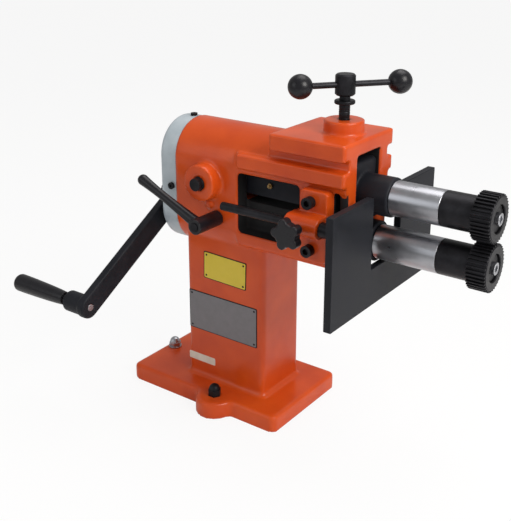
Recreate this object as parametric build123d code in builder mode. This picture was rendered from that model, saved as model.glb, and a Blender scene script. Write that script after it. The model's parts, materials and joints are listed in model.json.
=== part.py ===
from build123d import *
import os
from math import cos, pi, radians, sin, sqrt

os.makedirs("parts", exist_ok=True)

# Millimetres. Origin: centre of the base's underside.
# +X runs along the shafts towards the rolls, +Z is up, and the crank is at the rear.

# --- base and column ---
base_length = 270
base_width = 164
base_thickness = 25
base_corner = 9
base_edge = 5
lug_x = 27
lug_reach = 26  # how far a lug stands out of the base's long side
lug_radius = 28
lug_blend = 12
hold_down_hole = 12
rear_hole_inset = 15
column_x = 20
column_length = 140
column_width = 91
column_corner = 7
column_foot = 8

# --- shaft lines and clearances ---
lower_axis_z = 291.5
shaft_spacing = 63
journal_radius = 15
shaft_radius = 23
shaft_reach = 68  # bright length of the upper shaft in front of the arm's nose
running_gap = 0.05
side_gap = 0.7
end_gap = 0.3

# --- head: heights are taken from the two shaft lines, lengths from the front face ---
head_front_x = 224
head_length = 284
head_half_width = 54
barrel_drop = 61.5
barrel_rise = 63.5
front_drop = 35.5
head_wall = 9
rear_web = 12
web_setback = 4
floor_rise = 26.5
slot_half_width = 29.5
roof_thickness = 19.6
barrel_roof = 17
barrel_lap = 20
rail_length = 169
rail_overhang = 9
rail_height = 20
rail_rise = 17.5
neck_inset = 5
neck_height = 14.6
neck_lead = 9
flange_length = 115
flange_thickness = 21.5
casting_corner = 3
window_length = 101
window_drop = 14.5
window_rise = 8.5
window_corner = 6
slit_width = 8
window_post = 52  # solid wall between window and slit, behind the bracket
front_post = 12
front_post_inset = 2.5
oil_boss_radius = 5
oil_boss_height = 3
oil_boss_offset = 3
oil_boss_drop = 35

# --- gear end ---
spigot_length = 16
spigot_wall = 5
cover_inset = 1
cover_depth = 32
cover_wall = 3
cover_round = 9
cover_hole_margin = 5
cover_screw_size = 5
cover_screw_head = 3.5
gear_teeth = 21
gear_width = 22
gear_overhang = 6
gear_bore_radius = 13
gear_hub_radius = 20
gear_backlash = 3.6  # wide, so the pair stays free while the upper shaft is raised
gear_addendum = 2.3
gear_dedendum = 4.6
gear_flank_lean = 0.364  # tangent of the 20 degree flank
gear_web_gap = 4
gear_ring_width = 5
gear_ring_thickness = 3
gear_tail = 2
quill_radius = 22
quill_length = 86
quill_gap = 2
shift_travel = 1.5
collar_radius = 18
collar_width = 10

# --- swing arm and its pivots ---
pivot_drop = 11.5
pivot_radius = 10
pivot_boss_radius = 26
pivot_boss_reach = 20
pivot_head_height = 8
arm_rear_gap = 6
arm_front_gap = 6
arm_floor_gap = 10
arm_heel = 4
arm_heel_length = 60
arm_rear_rise = 25.5
arm_front_rise = 41.5
arm_high_length = 100
arm_slope_length = 30
arm_corner = 5
trunnion_radius = 19
nose_radius = 26
nose_length = 46
bush_wall = 4
bush_length = 34
bore_relief = 2
nipple_inset = 39
nipple_drop = 9
nipple_radius = 3
nipple_depth = 6
nipple_stand = 3
button_radius = 8
button_depth = 6
button_proud = 1
spring_setback = 34
spring_y = 20.5
spring_radius = 4.6
spring_wire = 1.6
spring_turns = 5
spring_pocket_depth = 9

# --- pressure screw ---
screw_setback = 39.6
screw_radius = 7
screw_boss_radius = 26.5
screw_boss_height = 18
tee_hub_radius = 13.2
tee_hub_height = 27.5
tee_hub_lift = 30.9
tee_hub_bevel = 2
tee_bar_radius = 4
tee_bar_half_length = 67.8
tee_bar_shift = 7.6
tee_bar_angle = 51.6
ball_radius = 16
lock_ring_radius = 13.5
lock_ring_height = 5
lock_ring_gap = 6
foot_radius = 11
foot_height = 6
foot_seat = 3

# --- rolls ---
roll_hub_length = 42.6
roll_width = 26
roll_radius = 31
roll_teeth = 36
tooth_depth = 2.8
tooth_root_share = 0.62
tooth_tip_share = 0.34
roll_bore = 12.5
roll_recess_radius = 18
roll_recess_depth = 6
roll_wall = 4  # metal between a shaft's end and the recess floor

# --- fence and its guide rods ---
nose_cap_length = 19.5
nose_cap_bevel = 1.5
fence_thickness = 10
fence_half_width = 135
fence_drop = 77.5
fence_rise = 7.5
fence_corner = 2
fence_slot_half_width = 38
fence_slot_drop = 26
fence_slot_corner = 20
rod_standoff = 26
rod_rise = 30.5
rod_radius = 6
rod_length = 202.5
rod_collar_radius = 10
rod_collar_gap = 0.5
bracket_width = 42
bracket_height = 96
bracket_drop = 4
bracket_thickness = 14
bracket_corner = 6
bracket_edge = 2
bracket_boss_radius = 14
bracket_boss_length = 49
bracket_boss_inset = 1
bracket_boss_corner = 4
bracket_screw_inset = 25
bracket_screw_margin = 15.5
bracket_screw_grip = 18
cap_screw_size = 10

# --- star knobs ---
knob_radius = 21
knob_lobes = 5
knob_lobe_radius = 6.5
knob_lobe_start = 105
knob_thickness = 14
knob_edge = 2
knob_hub_radius = 10
knob_hub_length = 8
knob_stud_radius = 4
knob_gap = 10

# --- clamp lever ---
lever_inset = 16
lever_hub_radius = 11
lever_hub_length = 50
lever_reach = 112
lever_angle = 155.5
lever_stud_radius = 6
lever_ball_radius = 8
lever_sections = ((0, 9), (0.35, 7), (0.75, 6.5), (1, 8))  # share of the reach, radius
lever_stud_proud = 1
clamp_pad_gap = 0.1
clamp_pad_length = 5.8
clamp_pad_inset = 0.3

# --- crank ---
crank_radius = 228
crank_angle = 211  # measured in the YZ plane from +Y
crank_gap = 7
crank_thickness = 13
crank_width = 33
crank_edge = 3
crank_hub_radius = 23
crank_hub_front = 3
crank_hub_back = 8
crank_seat_radius = 12
handle_boss_length = 29
spindle_radius = 5
spindle_head = 2.5
spindle_head_length = 3
grip_gap = 10
grip_length = 101
grip_small_radius = 9.5
grip_large_radius = 13
grip_end_radius = 8
grip_end_round = 6
grip_belly_share = 0.55
grip_end_wall = 14

# --- end screws, washers and hold-down nuts ---
end_screw_size = 10
end_screw_grip = 12
end_screw_head = 5
end_screw_socket = 4
washer_thickness = 3
nut_size = 17
nut_thread_radius = 5
lug_nut_height = 18
rear_nut_height = 14
nut_washer_radius = 10.5
nut_washer_thickness = 2.5

# --- keys ---
key_width = 8
key_height = 7
gear_key_inset = 2
roll_key_inset = 8
roll_key_overlap = 6
crank_key_inset = 3

# --- heights that follow from the shaft lines ---
upper_axis_z = lower_axis_z + shaft_spacing
nip_z = (lower_axis_z + upper_axis_z) / 2
barrel_bottom_z = lower_axis_z - barrel_drop
barrel_top_z = upper_axis_z + barrel_rise
barrel_centre_z = (barrel_top_z + barrel_bottom_z) / 2
barrel_height = barrel_top_z - barrel_bottom_z
head_underside_z = lower_axis_z - front_drop
cavity_floor_z = lower_axis_z + floor_rise
rail_bottom_z = upper_axis_z + rail_rise
rail_top_z = rail_bottom_z + rail_height
flange_bottom_z = rail_top_z + neck_height
flange_top_z = flange_bottom_z + flange_thickness
boss_top_z = flange_top_z + screw_boss_height
slot_top_z = flange_top_z - roof_thickness
window_bottom_z = lower_axis_z - window_drop
window_top_z = upper_axis_z + window_rise
pivot_z = upper_axis_z - pivot_drop
oil_boss_z = pivot_z - oil_boss_drop
arm_bottom_z = cavity_floor_z + arm_floor_gap
arm_rear_top_z = upper_axis_z + arm_rear_rise
arm_top_z = upper_axis_z + arm_front_rise
nipple_z = upper_axis_z - nipple_drop
spring_bottom_z = cavity_floor_z - spring_pocket_depth + end_gap
spring_height = arm_bottom_z - cavity_floor_z + 2 * (spring_pocket_depth - end_gap)
foot_top_z = arm_top_z + button_proud + end_gap + foot_height
tee_hub_bottom_z = boss_top_z + tee_hub_lift
tee_hub_top_z = tee_hub_bottom_z + tee_hub_height
tee_bar_z = (tee_hub_bottom_z + tee_hub_top_z) / 2
lock_ring_z = tee_hub_bottom_z - lock_ring_gap - lock_ring_height
fence_bottom_z = lower_axis_z - fence_drop
fence_top_z = upper_axis_z + fence_rise
fence_slot_bottom_z = lower_axis_z - fence_slot_drop
rod_z = lower_axis_z + rod_rise
bracket_middle_z = rod_z - bracket_drop
bracket_screw_spacing = bracket_height - 2 * bracket_screw_margin

# --- places along X ---
rear_hole_x = -base_length / 2 + rear_hole_inset
head_seam_x = head_front_x - head_length
web_front_x = head_seam_x + rear_web + web_setback
web_back_x = web_front_x - rear_web
rail_start_x = head_front_x - rail_length
flange_start_x = head_front_x - flange_length
post_end_x = head_front_x - front_post - slit_width
window_end_x = post_end_x - window_post
window_start_x = window_end_x - window_length
chamber_front_x = window_start_x - head_wall
pivot_x = (web_front_x + chamber_front_x) / 2
spigot_end_x = head_seam_x - spigot_length
cover_back_x = head_seam_x - cover_depth
cover_screw_x = head_seam_x - spigot_length / 2
gear_start_x = spigot_end_x - gear_overhang
gear_end_x = gear_start_x + gear_width
quill_start_x = web_back_x + quill_gap
quill_end_x = quill_start_x + quill_length
lever_x = quill_end_x - lever_inset
arm_rear_x = web_front_x + arm_rear_gap
arm_front_x = head_front_x - arm_front_gap
arm_step_x = arm_front_x - arm_high_length
nose_end_x = arm_front_x + nose_length
screw_x = head_front_x - screw_setback
spring_x = screw_x - spring_setback
nipple_x = window_start_x + nipple_inset
upper_shaft_start_x = nose_end_x + end_gap
nose_cap_end_x = head_front_x + nose_cap_length
lower_shaft_start_x = nose_cap_end_x + shift_travel + end_gap
bright_shaft_end_x = nose_end_x + shaft_reach
roll_start_x = bright_shaft_end_x + roll_hub_length
roll_end_x = roll_start_x + roll_width
recess_floor_x = roll_end_x - roll_recess_depth
shaft_end_x = recess_floor_x - roll_wall
fence_back_x = nose_cap_end_x
fence_front_x = fence_back_x + fence_thickness
rod_front_x = fence_back_x + fence_thickness / 2
rod_rear_x = rod_front_x - rod_length
bracket_start_x = post_end_x - bracket_width
bracket_boss_end_x = post_end_x - bracket_boss_inset
bracket_boss_start_x = bracket_boss_end_x - bracket_boss_length
bracket_screw_x = post_end_x - bracket_screw_inset
knob_x = (bracket_boss_start_x + bracket_boss_end_x) / 2
crank_face_x = cover_back_x - crank_gap
crank_back_x = crank_face_x - crank_thickness
crank_hub_start_x = crank_back_x - crank_hub_back
crank_hub_end_x = crank_face_x + crank_hub_front
handle_boss_end_x = crank_back_x - handle_boss_length
grip_start_x = handle_boss_end_x - grip_gap
grip_end_x = grip_start_x - grip_length
spindle_tail_x = grip_end_x + grip_end_wall

# --- widths and places across ---
lug_y = base_width / 2 + lug_reach - lug_radius
rail_half_width = head_half_width + rail_overhang
neck_half_width = head_half_width - neck_inset
chamber_half_width = head_half_width - head_wall
cover_half_width = head_half_width - cover_inset
spigot_half_width = cover_half_width - cover_wall - running_gap
pocket_half_width = spigot_half_width - spigot_wall
arm_half_width = slot_half_width - side_gap
bush_radius = journal_radius + bush_wall
front_bush_radius = bush_radius + 1
pivot_face_y = head_half_width + pivot_boss_reach
bracket_face_y = head_half_width + bracket_thickness
rod_y = head_half_width + rod_standoff
knob_hub_y = rod_y + bracket_boss_radius + knob_gap
knob_face_y = knob_hub_y + knob_hub_length
lever_start_y = -head_half_width - end_gap
lever_end_y = lever_start_y - lever_hub_length
handle_y = crank_radius * cos(radians(crank_angle))
handle_z = lower_axis_z + crank_radius * sin(radians(crank_angle))
gear_tail_x = gear_start_x - gear_ring_thickness - gear_tail
upper_hub_end_x = arm_rear_x - end_gap
lower_hub_end_x = quill_start_x - end_gap
gear_key_start_x = gear_start_x + gear_key_inset
roll_key_start_x = bright_shaft_end_x + roll_key_inset
roll_key_end_x = roll_start_x + roll_key_overlap
crank_key_start_x = crank_hub_start_x + crank_key_inset
crank_key_end_x = crank_hub_end_x - crank_key_inset


# Round bar or bore along X between two X positions.
def along_x(start, end, radius, y=0.0, z=0.0, mode=Mode.ADD):
    with BuildSketch(Plane.YZ.offset(start)) as section:
        with Locations((y, z)):
            Circle(radius)
    extrude(section.sketch, amount=end - start, mode=mode)


# Round bar or bore along Y between two Y positions.
def along_y(start, end, radius, x=0.0, z=0.0, mode=Mode.ADD):
    with BuildSketch(Plane.XZ.offset(-start)) as section:
        with Locations((x, z)):
            Circle(radius)
    extrude(section.sketch, amount=start - end, mode=mode)


# Round bar or bore along Z between two heights.
def along_z(start, end, radius, x=0.0, y=0.0, mode=Mode.ADD):
    with BuildSketch(Plane.XY.offset(start)) as section:
        with Locations((x, y)):
            Circle(radius)
    extrude(section.sketch, amount=end - start, mode=mode)


# Straight-sided block between two corners, its upright edges rounded where a corner is given.
def block(low, high, mode=Mode.ADD, corner=0):
    with BuildSketch(Plane.XY.offset(low[2])) as section:
        with Locations(((low[0] + high[0]) / 2, (low[1] + high[1]) / 2)):
            if corner:
                RectangleRounded(high[0] - low[0], high[1] - low[1], corner)
            else:
                Rectangle(high[0] - low[0], high[1] - low[1])
    extrude(section.sketch, amount=high[2] - low[2], mode=mode)


# Upright oblong round both shaft lines, a given distance inside the barrel, run along X.
def oblong(start, end, half_width, mode=Mode.ADD):
    with BuildSketch(Plane.YZ.offset(start)) as section:
        with Locations((0, barrel_centre_z)):
            SlotCenterToCenter(
                barrel_height - 2 * head_half_width, 2 * half_width, rotation=90
            )
    extrude(section.sketch, amount=end - start, mode=mode)


# The part of that oblong above a given height.
def dome(start, end, half_width, floor, mode=Mode.ADD):
    with BuildSketch(Plane.YZ.offset(start)) as section:
        with Locations((0, barrel_centre_z)):
            SlotCenterToCenter(
                barrel_height - 2 * head_half_width, 2 * half_width, rotation=90
            )
        with Locations((0, floor)):
            Rectangle(
                2 * head_half_width,
                barrel_height,
                align=(Align.CENTER, Align.MAX),
                mode=Mode.SUBTRACT,
            )
    extrude(section.sketch, amount=end - start, mode=mode)


# Parallel key on top of a shaft of the given radius, or the keyway it lies in.
def key(start, end, radius, z, mode=Mode.ADD):
    with BuildSketch(Plane.XY.offset(z + radius - key_height / 2)) as section:
        with Locations(((start + end) / 2, 0)):
            Rectangle(end - start, key_width)
    extrude(section.sketch, amount=key_height, mode=mode)


# Side opening of the head, cut in from one side wall.
def side_window(start, end, side):
    with BuildSketch(Plane.XZ.offset(-side * slot_half_width)) as section:
        with Locations(((start + end) / 2, (window_bottom_z + window_top_z) / 2)):
            corner = min(window_corner, (end - start) / 4)
            RectangleRounded(end - start, window_top_z - window_bottom_z, corner)
    depth = head_half_width - slot_half_width
    extrude(section.sketch, amount=-side * depth, mode=Mode.SUBTRACT)


# --- frame casting: base, column and head in one piece ---
with BuildPart() as frame_casting:
    with BuildSketch() as base_outline:
        RectangleRounded(base_length, base_width, base_corner)
        with Locations((lug_x, lug_y), (lug_x, -lug_y)):
            Circle(lug_radius)
        lug_corners = [v for v in base_outline.vertices() if abs(v.X - lug_x) < lug_radius + 1]
        fillet(lug_corners, lug_blend)
    extrude(amount=base_thickness)
    fillet(frame_casting.edges().group_by(Axis.Z)[-1], base_edge)
    with BuildSketch(Plane.XY.offset(base_thickness)):
        with Locations((column_x, 0)):
            RectangleRounded(column_length, column_width, column_corner)
    extrude(amount=lower_axis_z - base_thickness)
    top_edges = frame_casting.edges().filter_by_position(
        Axis.Z, base_thickness - end_gap, base_thickness + end_gap
    )
    foot_edges = [
        e
        for e in top_edges
        if abs(e.center().Y) < column_width / 2 + 1
        and abs(e.center().X - column_x) < column_length / 2 + 1
    ]
    fillet(foot_edges, column_foot)

    # head: barrel round both shafts, square front, rails, neck and top flange
    barrel_front_x = flange_start_x + barrel_lap
    oblong(head_seam_x, rail_start_x, head_half_width)
    dome(rail_start_x, barrel_front_x, head_half_width, barrel_centre_z)
    front_back_x = rail_start_x - window_corner
    with BuildSketch(Plane.YZ.offset(front_back_x)):
        with Locations((0, (head_underside_z + rail_top_z) / 2)):
            Rectangle(2 * head_half_width, rail_top_z - head_underside_z)
        lower_corners = vertices().group_by(Axis.Y)[0]
        fillet(lower_corners, head_half_width - column_width / 2)
    extrude(amount=head_front_x - front_back_x)
    block(
        (rail_start_x, -rail_half_width, rail_bottom_z),
        (head_front_x, rail_half_width, rail_top_z),
        corner=casting_corner,
    )
    block(
        (flange_start_x - neck_lead, -neck_half_width, rail_top_z),
        (head_front_x, neck_half_width, flange_bottom_z),
    )
    block(
        (flange_start_x, -rail_half_width, flange_bottom_z),
        (head_front_x, rail_half_width, flange_top_z),
        corner=casting_corner,
    )
    along_z(flange_top_z, boss_top_z, screw_boss_radius, screw_x)

    # pivot bosses and the small oil boss on the side walls
    for side in (-1, 1):
        along_y(0, side * pivot_face_y, pivot_boss_radius, pivot_x, pivot_z)
    along_y(
        0, -head_half_width - oil_boss_height, oil_boss_radius, pivot_x + oil_boss_offset, oil_boss_z
    )

    # spigot that carries the gear cover
    oblong(spigot_end_x, head_seam_x, spigot_half_width)

    # hollow inside: gear pocket, arm chamber and front slot
    oblong(spigot_end_x, web_back_x, pocket_half_width, Mode.SUBTRACT)
    dome(web_front_x, chamber_front_x, chamber_half_width, cavity_floor_z, Mode.SUBTRACT)
    block(
        (web_front_x, -slot_half_width, cavity_floor_z),
        (barrel_front_x, slot_half_width, barrel_top_z - barrel_roof),
        Mode.SUBTRACT,
    )
    block(
        (flange_start_x, -slot_half_width, cavity_floor_z),
        (head_front_x, slot_half_width, slot_top_z),
        Mode.SUBTRACT,
    )
    for side in (-1, 1):
        side_window(window_start_x, window_end_x, side)
        side_window(post_end_x, head_front_x - front_post, side)
        block(
            (post_end_x + 1, side * (head_half_width - front_post_inset), window_bottom_z),
            (head_front_x, side * head_half_width, window_top_z),
            Mode.SUBTRACT,
        )

    # bores: lower shaft line, upper shaft passage, pressure screw, pivots, clamp screw
    quill_bore_end_x = quill_end_x + quill_gap
    along_x(
        web_back_x, quill_bore_end_x, quill_radius + running_gap, 0, lower_axis_z, Mode.SUBTRACT
    )
    along_x(quill_end_x, head_front_x, front_bush_radius, 0, lower_axis_z, Mode.SUBTRACT)
    passage_radius = gear_hub_radius + gear_web_gap
    along_x(web_back_x, web_front_x, passage_radius, 0, upper_axis_z, Mode.SUBTRACT)
    along_z(slot_top_z, boss_top_z, screw_radius + running_gap, screw_x, 0, Mode.SUBTRACT)
    for side in (-1, 1):
        along_y(
            side * slot_half_width,
            side * pivot_face_y,
            pivot_radius,
            pivot_x,
            pivot_z,
            Mode.SUBTRACT,
        )
    along_y(
        -quill_radius,
        -head_half_width,
        lever_stud_radius + running_gap,
        lever_x,
        lower_axis_z,
        Mode.SUBTRACT,
    )

    # blind pockets that seat the lift springs
    for side in (-1, 1):
        along_z(
            cavity_floor_z - spring_pocket_depth,
            cavity_floor_z,
            spring_radius + side_gap,
            spring_x,
            side * spring_y,
            Mode.SUBTRACT,
        )

    # bracket screw holes, cover screw holes and hold-down holes
    for side in (-1, 1):
        for height in (-1, 1):
            along_y(
                side * (head_half_width - bracket_screw_grip),
                side * head_half_width,
                cap_screw_size / 2,
                bracket_screw_x,
                bracket_middle_z + height * bracket_screw_spacing / 2,
                Mode.SUBTRACT,
            )
        along_y(
            side * pocket_half_width,
            side * head_half_width,
            cover_screw_size / 2,
            cover_screw_x,
            nip_z,
            Mode.SUBTRACT,
        )
    along_z(nip_z, barrel_top_z, cover_screw_size / 2, cover_screw_x, 0, Mode.SUBTRACT)
    for x, y in ((lug_x, lug_y), (lug_x, -lug_y), (rear_hole_x, 0)):
        along_z(0, base_thickness, hold_down_hole / 2, x, y, Mode.SUBTRACT)
frame_casting.part.label = "frame_casting"
export_step(frame_casting.part, "parts/frame_casting.step")

# --- gear cover: a cap that slips over the spigot ---
with BuildPart() as gear_cover:
    oblong(cover_back_x, head_seam_x, cover_half_width)
    fillet(gear_cover.edges().group_by(Axis.X)[0], cover_round)
    oblong(
        cover_back_x + cover_wall, head_seam_x, cover_half_width - cover_wall, Mode.SUBTRACT
    )
    cover_hole_radius = journal_radius + cover_hole_margin
    along_x(cover_back_x, head_seam_x, cover_hole_radius, 0, lower_axis_z, Mode.SUBTRACT)
    for side in (-1, 1):
        along_y(
            side * spigot_half_width,
            side * head_half_width,
            cover_screw_size / 2,
            cover_screw_x,
            nip_z,
            Mode.SUBTRACT,
        )
    along_z(nip_z, barrel_top_z, cover_screw_size / 2, cover_screw_x, 0, Mode.SUBTRACT)
gear_cover.part.label = "gear_cover"
export_step(gear_cover.part, "parts/gear_cover.step")

# --- three button screws round the cover's rim ---
with BuildPart() as gear_cover_screws:
    for side in (-1, 1):
        head_seat = side * cover_half_width
        along_y(
            side * (pocket_half_width + 1), head_seat, cover_screw_size / 2, cover_screw_x, nip_z
        )
        along_y(
            head_seat,
            head_seat + side * cover_screw_head,
            cover_screw_size,
            cover_screw_x,
            nip_z,
        )
    cover_top_z = barrel_top_z - cover_inset
    along_z(
        cover_top_z - cover_wall - spigot_wall + 1, cover_top_z, cover_screw_size / 2, cover_screw_x
    )
    along_z(cover_top_z, cover_top_z + cover_screw_head, cover_screw_size, cover_screw_x)
gear_cover_screws.part.label = "gear_cover_screws"
export_step(gear_cover_screws.part, "parts/gear_cover_screws.step")

# --- swing arm: housing of the upper shaft, hung on two pivot bolts at the rear ---
with BuildPart() as swing_arm:
    with BuildSketch(Plane.XZ.offset(-arm_half_width)):
        with BuildLine():
            Polyline(
                (arm_rear_x, arm_bottom_z + arm_heel),
                (arm_rear_x, arm_rear_top_z),
                (arm_step_x - arm_slope_length, arm_rear_top_z),
                (arm_step_x, arm_top_z),
                (arm_front_x, arm_top_z),
                (arm_front_x, arm_bottom_z),
                (arm_rear_x + arm_heel_length, arm_bottom_z),
                close=True,
            )
        make_face()
        fillet(vertices().sort_by(Axis.X)[2:6], arm_corner)
    extrude(amount=2 * arm_half_width)
    along_x(arm_front_x, nose_end_x, nose_radius, 0, upper_axis_z)
    chamfer(swing_arm.edges().group_by(Axis.X)[-1], nose_cap_bevel)
    for side in (-1, 1):
        along_y(
            side * arm_half_width,
            side * (chamber_half_width - side_gap),
            trunnion_radius,
            pivot_x,
            pivot_z,
        )
    along_x(
        arm_rear_x, nose_end_x, journal_radius + bore_relief, 0, upper_axis_z, Mode.SUBTRACT
    )
    along_x(arm_rear_x, arm_rear_x + bush_length, bush_radius, 0, upper_axis_z, Mode.SUBTRACT)
    along_x(nose_end_x - bush_length, nose_end_x, bush_radius, 0, upper_axis_z, Mode.SUBTRACT)
    for side in (-1, 1):
        along_y(
            side * (bush_radius + bore_relief),
            side * head_half_width,
            pivot_radius + running_gap,
            pivot_x,
            pivot_z,
            Mode.SUBTRACT,
        )
        along_z(
            arm_bottom_z,
            arm_bottom_z + spring_pocket_depth,
            spring_radius + side_gap,
            spring_x,
            side * spring_y,
            Mode.SUBTRACT,
        )
    along_z(arm_top_z - button_depth, arm_top_z, button_radius, screw_x, 0, Mode.SUBTRACT)
    along_y(
        -arm_half_width,
        -arm_half_width + nipple_depth,
        nipple_radius,
        nipple_x,
        nipple_z,
        Mode.SUBTRACT,
    )
swing_arm.part.label = "swing_arm"
export_step(swing_arm.part, "parts/swing_arm.step")

# hardened button under the pressure foot
with BuildPart() as arm_button:
    along_z(arm_top_z - button_depth, arm_top_z + button_proud, button_radius, screw_x)
arm_button.part.label = "arm_button"
export_step(arm_button.part, "parts/arm_button.step")

# grease nipple in the arm's side, seen through the window
with BuildPart() as grease_nipple:
    nipple_hex_y = -arm_half_width - nipple_stand
    along_y(-arm_half_width, -arm_half_width + nipple_depth, nipple_radius, nipple_x, nipple_z)
    with BuildSketch(Plane.XZ.offset(arm_half_width)) as hexagon:
        with Locations((nipple_x, nipple_z)):
            RegularPolygon(nipple_radius + 1, 6)
    extrude(hexagon.sketch, amount=nipple_stand)
    along_y(nipple_hex_y, nipple_hex_y - nipple_stand, nipple_radius - 1, nipple_x, nipple_z)
grease_nipple.part.label = "grease_nipple"
export_step(grease_nipple.part, "parts/grease_nipple.step")

# two square-wire springs that lift the arm when the screw is backed off
with BuildPart() as lift_springs:
    for side in (-1, 1):
        coil_height = spring_height - spring_wire
        with BuildLine() as coil:
            Helix(
                pitch=coil_height / spring_turns,
                height=coil_height,
                radius=spring_radius - spring_wire / 2,
                center=(spring_x, side * spring_y, spring_bottom_z + spring_wire / 2),
            )
        with BuildSketch(Plane(origin=coil.line @ 0, z_dir=coil.line % 0)) as wire:
            Rectangle(spring_wire, spring_wire)
        sweep(wire.sketch, path=coil.line)
lift_springs.part.label = "lift_springs"
export_step(lift_springs.part, "parts/lift_springs.step")

# --- pivot bolts: round shank through the wall into the arm, cap head outside ---
with BuildPart() as pivot_bolts:
    for side in (-1, 1):
        face_y = side * pivot_face_y
        shank_end_y = side * (bush_radius + bore_relief + end_gap)
        along_y(shank_end_y, face_y, pivot_radius, pivot_x, pivot_z)
        along_y(face_y, face_y + side * pivot_head_height, pivot_radius - 1, pivot_x, pivot_z)
pivot_bolts.part.label = "pivot_bolts"
export_step(pivot_bolts.part, "parts/pivot_bolts.step")


# Plain bearing bush round a journal.
def bush(start, end, outer_radius, z):
    along_x(start, end, outer_radius, 0, z)
    along_x(start, end, journal_radius + running_gap, 0, z, Mode.SUBTRACT)


with BuildPart() as upper_rear_bush:
    bush(arm_rear_x, arm_rear_x + bush_length, bush_radius, upper_axis_z)
upper_rear_bush.part.label = "upper_rear_bush"
export_step(upper_rear_bush.part, "parts/upper_rear_bush.step")

with BuildPart() as upper_front_bush:
    bush(nose_end_x - bush_length, nose_end_x, bush_radius, upper_axis_z)
upper_front_bush.part.label = "upper_front_bush"
export_step(upper_front_bush.part, "parts/upper_front_bush.step")

# --- lower shaft bearings: a sliding quill at the rear, a bush and a nose cap in front ---
with BuildPart() as lower_quill:
    bush(quill_start_x, quill_end_x, quill_radius, lower_axis_z)
lower_quill.part.label = "lower_quill"
export_step(lower_quill.part, "parts/lower_quill.step")

with BuildPart() as lower_front_bush:
    bush(head_front_x - bush_length, head_front_x, front_bush_radius, lower_axis_z)
lower_front_bush.part.label = "lower_front_bush"
export_step(lower_front_bush.part, "parts/lower_front_bush.step")

with BuildPart() as lower_nose_cap:
    along_x(head_front_x, nose_cap_end_x, nose_radius + 1, 0, lower_axis_z)
    chamfer(lower_nose_cap.edges().group_by(Axis.X)[-1], nose_cap_bevel)
    cap_bore = journal_radius + bore_relief / 2
    along_x(head_front_x, nose_cap_end_x, cap_bore, 0, lower_axis_z, Mode.SUBTRACT)
lower_nose_cap.part.label = "lower_nose_cap"
export_step(lower_nose_cap.part, "parts/lower_nose_cap.step")


# Ring of straight-flanked teeth; a half width is the share of half a pitch that the tooth fills.
def toothed_outline(teeth, root, tip, turn, z):
    outline = []
    for tooth in range(teeth):
        middle = turn + tooth * 360 / teeth
        for radius, share in ((root[0], -root[1]), (tip[0], -tip[1]), (tip[0], tip[1]), root):
            angle = radians(middle + share * 180 / teeth)
            outline.append((radius * cos(angle), z + radius * sin(angle)))
    with BuildLine() as ring:
        Polyline(*outline, close=True)
    return ring.edges()


# Spur gear on its hub, with a keyway.
def gear(z, hub_end, turn):
    pitch_radius = shaft_spacing / 2
    tip_radius = pitch_radius + gear_addendum
    root_radius = pitch_radius - gear_dedendum
    half_tooth = (pi * pitch_radius / gear_teeth - gear_backlash / 2) / 2
    tip_half = half_tooth - gear_addendum * gear_flank_lean
    root_half = half_tooth + gear_dedendum * gear_flank_lean
    tip = (tip_radius, tip_half * gear_teeth / (tip_radius * pi))
    root = (root_radius, root_half * gear_teeth / (root_radius * pi))
    with BuildSketch(Plane.YZ.offset(gear_start_x)) as blank:
        make_face(toothed_outline(gear_teeth, root, tip, turn, z))
    extrude(blank.sketch, amount=gear_width)
    along_x(gear_end_x, hub_end, gear_hub_radius, 0, z)
    along_x(gear_start_x, hub_end, gear_bore_radius, 0, z, Mode.SUBTRACT)
    key(gear_start_x, hub_end, gear_bore_radius, z, Mode.SUBTRACT)


with BuildPart() as upper_gear:
    gear(upper_axis_z, upper_hub_end_x, -90)
upper_gear.part.label = "upper_gear"
export_step(upper_gear.part, "parts/upper_gear.step")

with BuildPart() as lower_gear:
    gear(lower_axis_z, lower_hub_end_x, 90 + 180 / gear_teeth)
lower_gear.part.label = "lower_gear"
export_step(lower_gear.part, "parts/lower_gear.step")


# --- shafts ---
# Front end of a shaft: seat of the roll, its keyway and the thread of the end screw.
def shaft_front(z):
    along_x(bright_shaft_end_x, shaft_end_x, roll_bore, 0, z)
    key(roll_key_start_x, roll_key_end_x, roll_bore, z, Mode.SUBTRACT)
    thread_start_x = shaft_end_x - end_screw_grip
    along_x(thread_start_x, shaft_end_x, end_screw_size / 2, 0, z, Mode.SUBTRACT)


with BuildPart() as upper_shaft:
    along_x(gear_tail_x, upper_hub_end_x, gear_bore_radius, 0, upper_axis_z)
    along_x(upper_hub_end_x, upper_shaft_start_x, journal_radius, 0, upper_axis_z)
    along_x(upper_shaft_start_x, bright_shaft_end_x, shaft_radius, 0, upper_axis_z)
    shaft_front(upper_axis_z)
    key(gear_key_start_x, gear_end_x, gear_bore_radius, upper_axis_z, Mode.SUBTRACT)
upper_shaft.part.label = "upper_shaft"
export_step(upper_shaft.part, "parts/upper_shaft.step")

with BuildPart() as lower_shaft:
    along_x(crank_hub_start_x, crank_hub_end_x, crank_seat_radius, 0, lower_axis_z)
    along_x(crank_hub_end_x, lower_hub_end_x, gear_bore_radius, 0, lower_axis_z)
    along_x(lower_hub_end_x, lower_shaft_start_x, journal_radius, 0, lower_axis_z)
    collar_start_x = quill_end_x + end_gap
    along_x(collar_start_x, collar_start_x + collar_width, collar_radius, 0, lower_axis_z)
    along_x(lower_shaft_start_x, bright_shaft_end_x, shaft_radius, 0, lower_axis_z)
    shaft_front(lower_axis_z)
    key(gear_key_start_x, gear_end_x, gear_bore_radius, lower_axis_z, Mode.SUBTRACT)
    key(crank_key_start_x, crank_key_end_x, crank_seat_radius, lower_axis_z, Mode.SUBTRACT)
    crank_thread_end_x = crank_hub_start_x + end_screw_grip
    along_x(
        crank_hub_start_x,
        crank_thread_end_x,
        end_screw_size / 2,
        0,
        lower_axis_z,
        Mode.SUBTRACT,
    )
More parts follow.
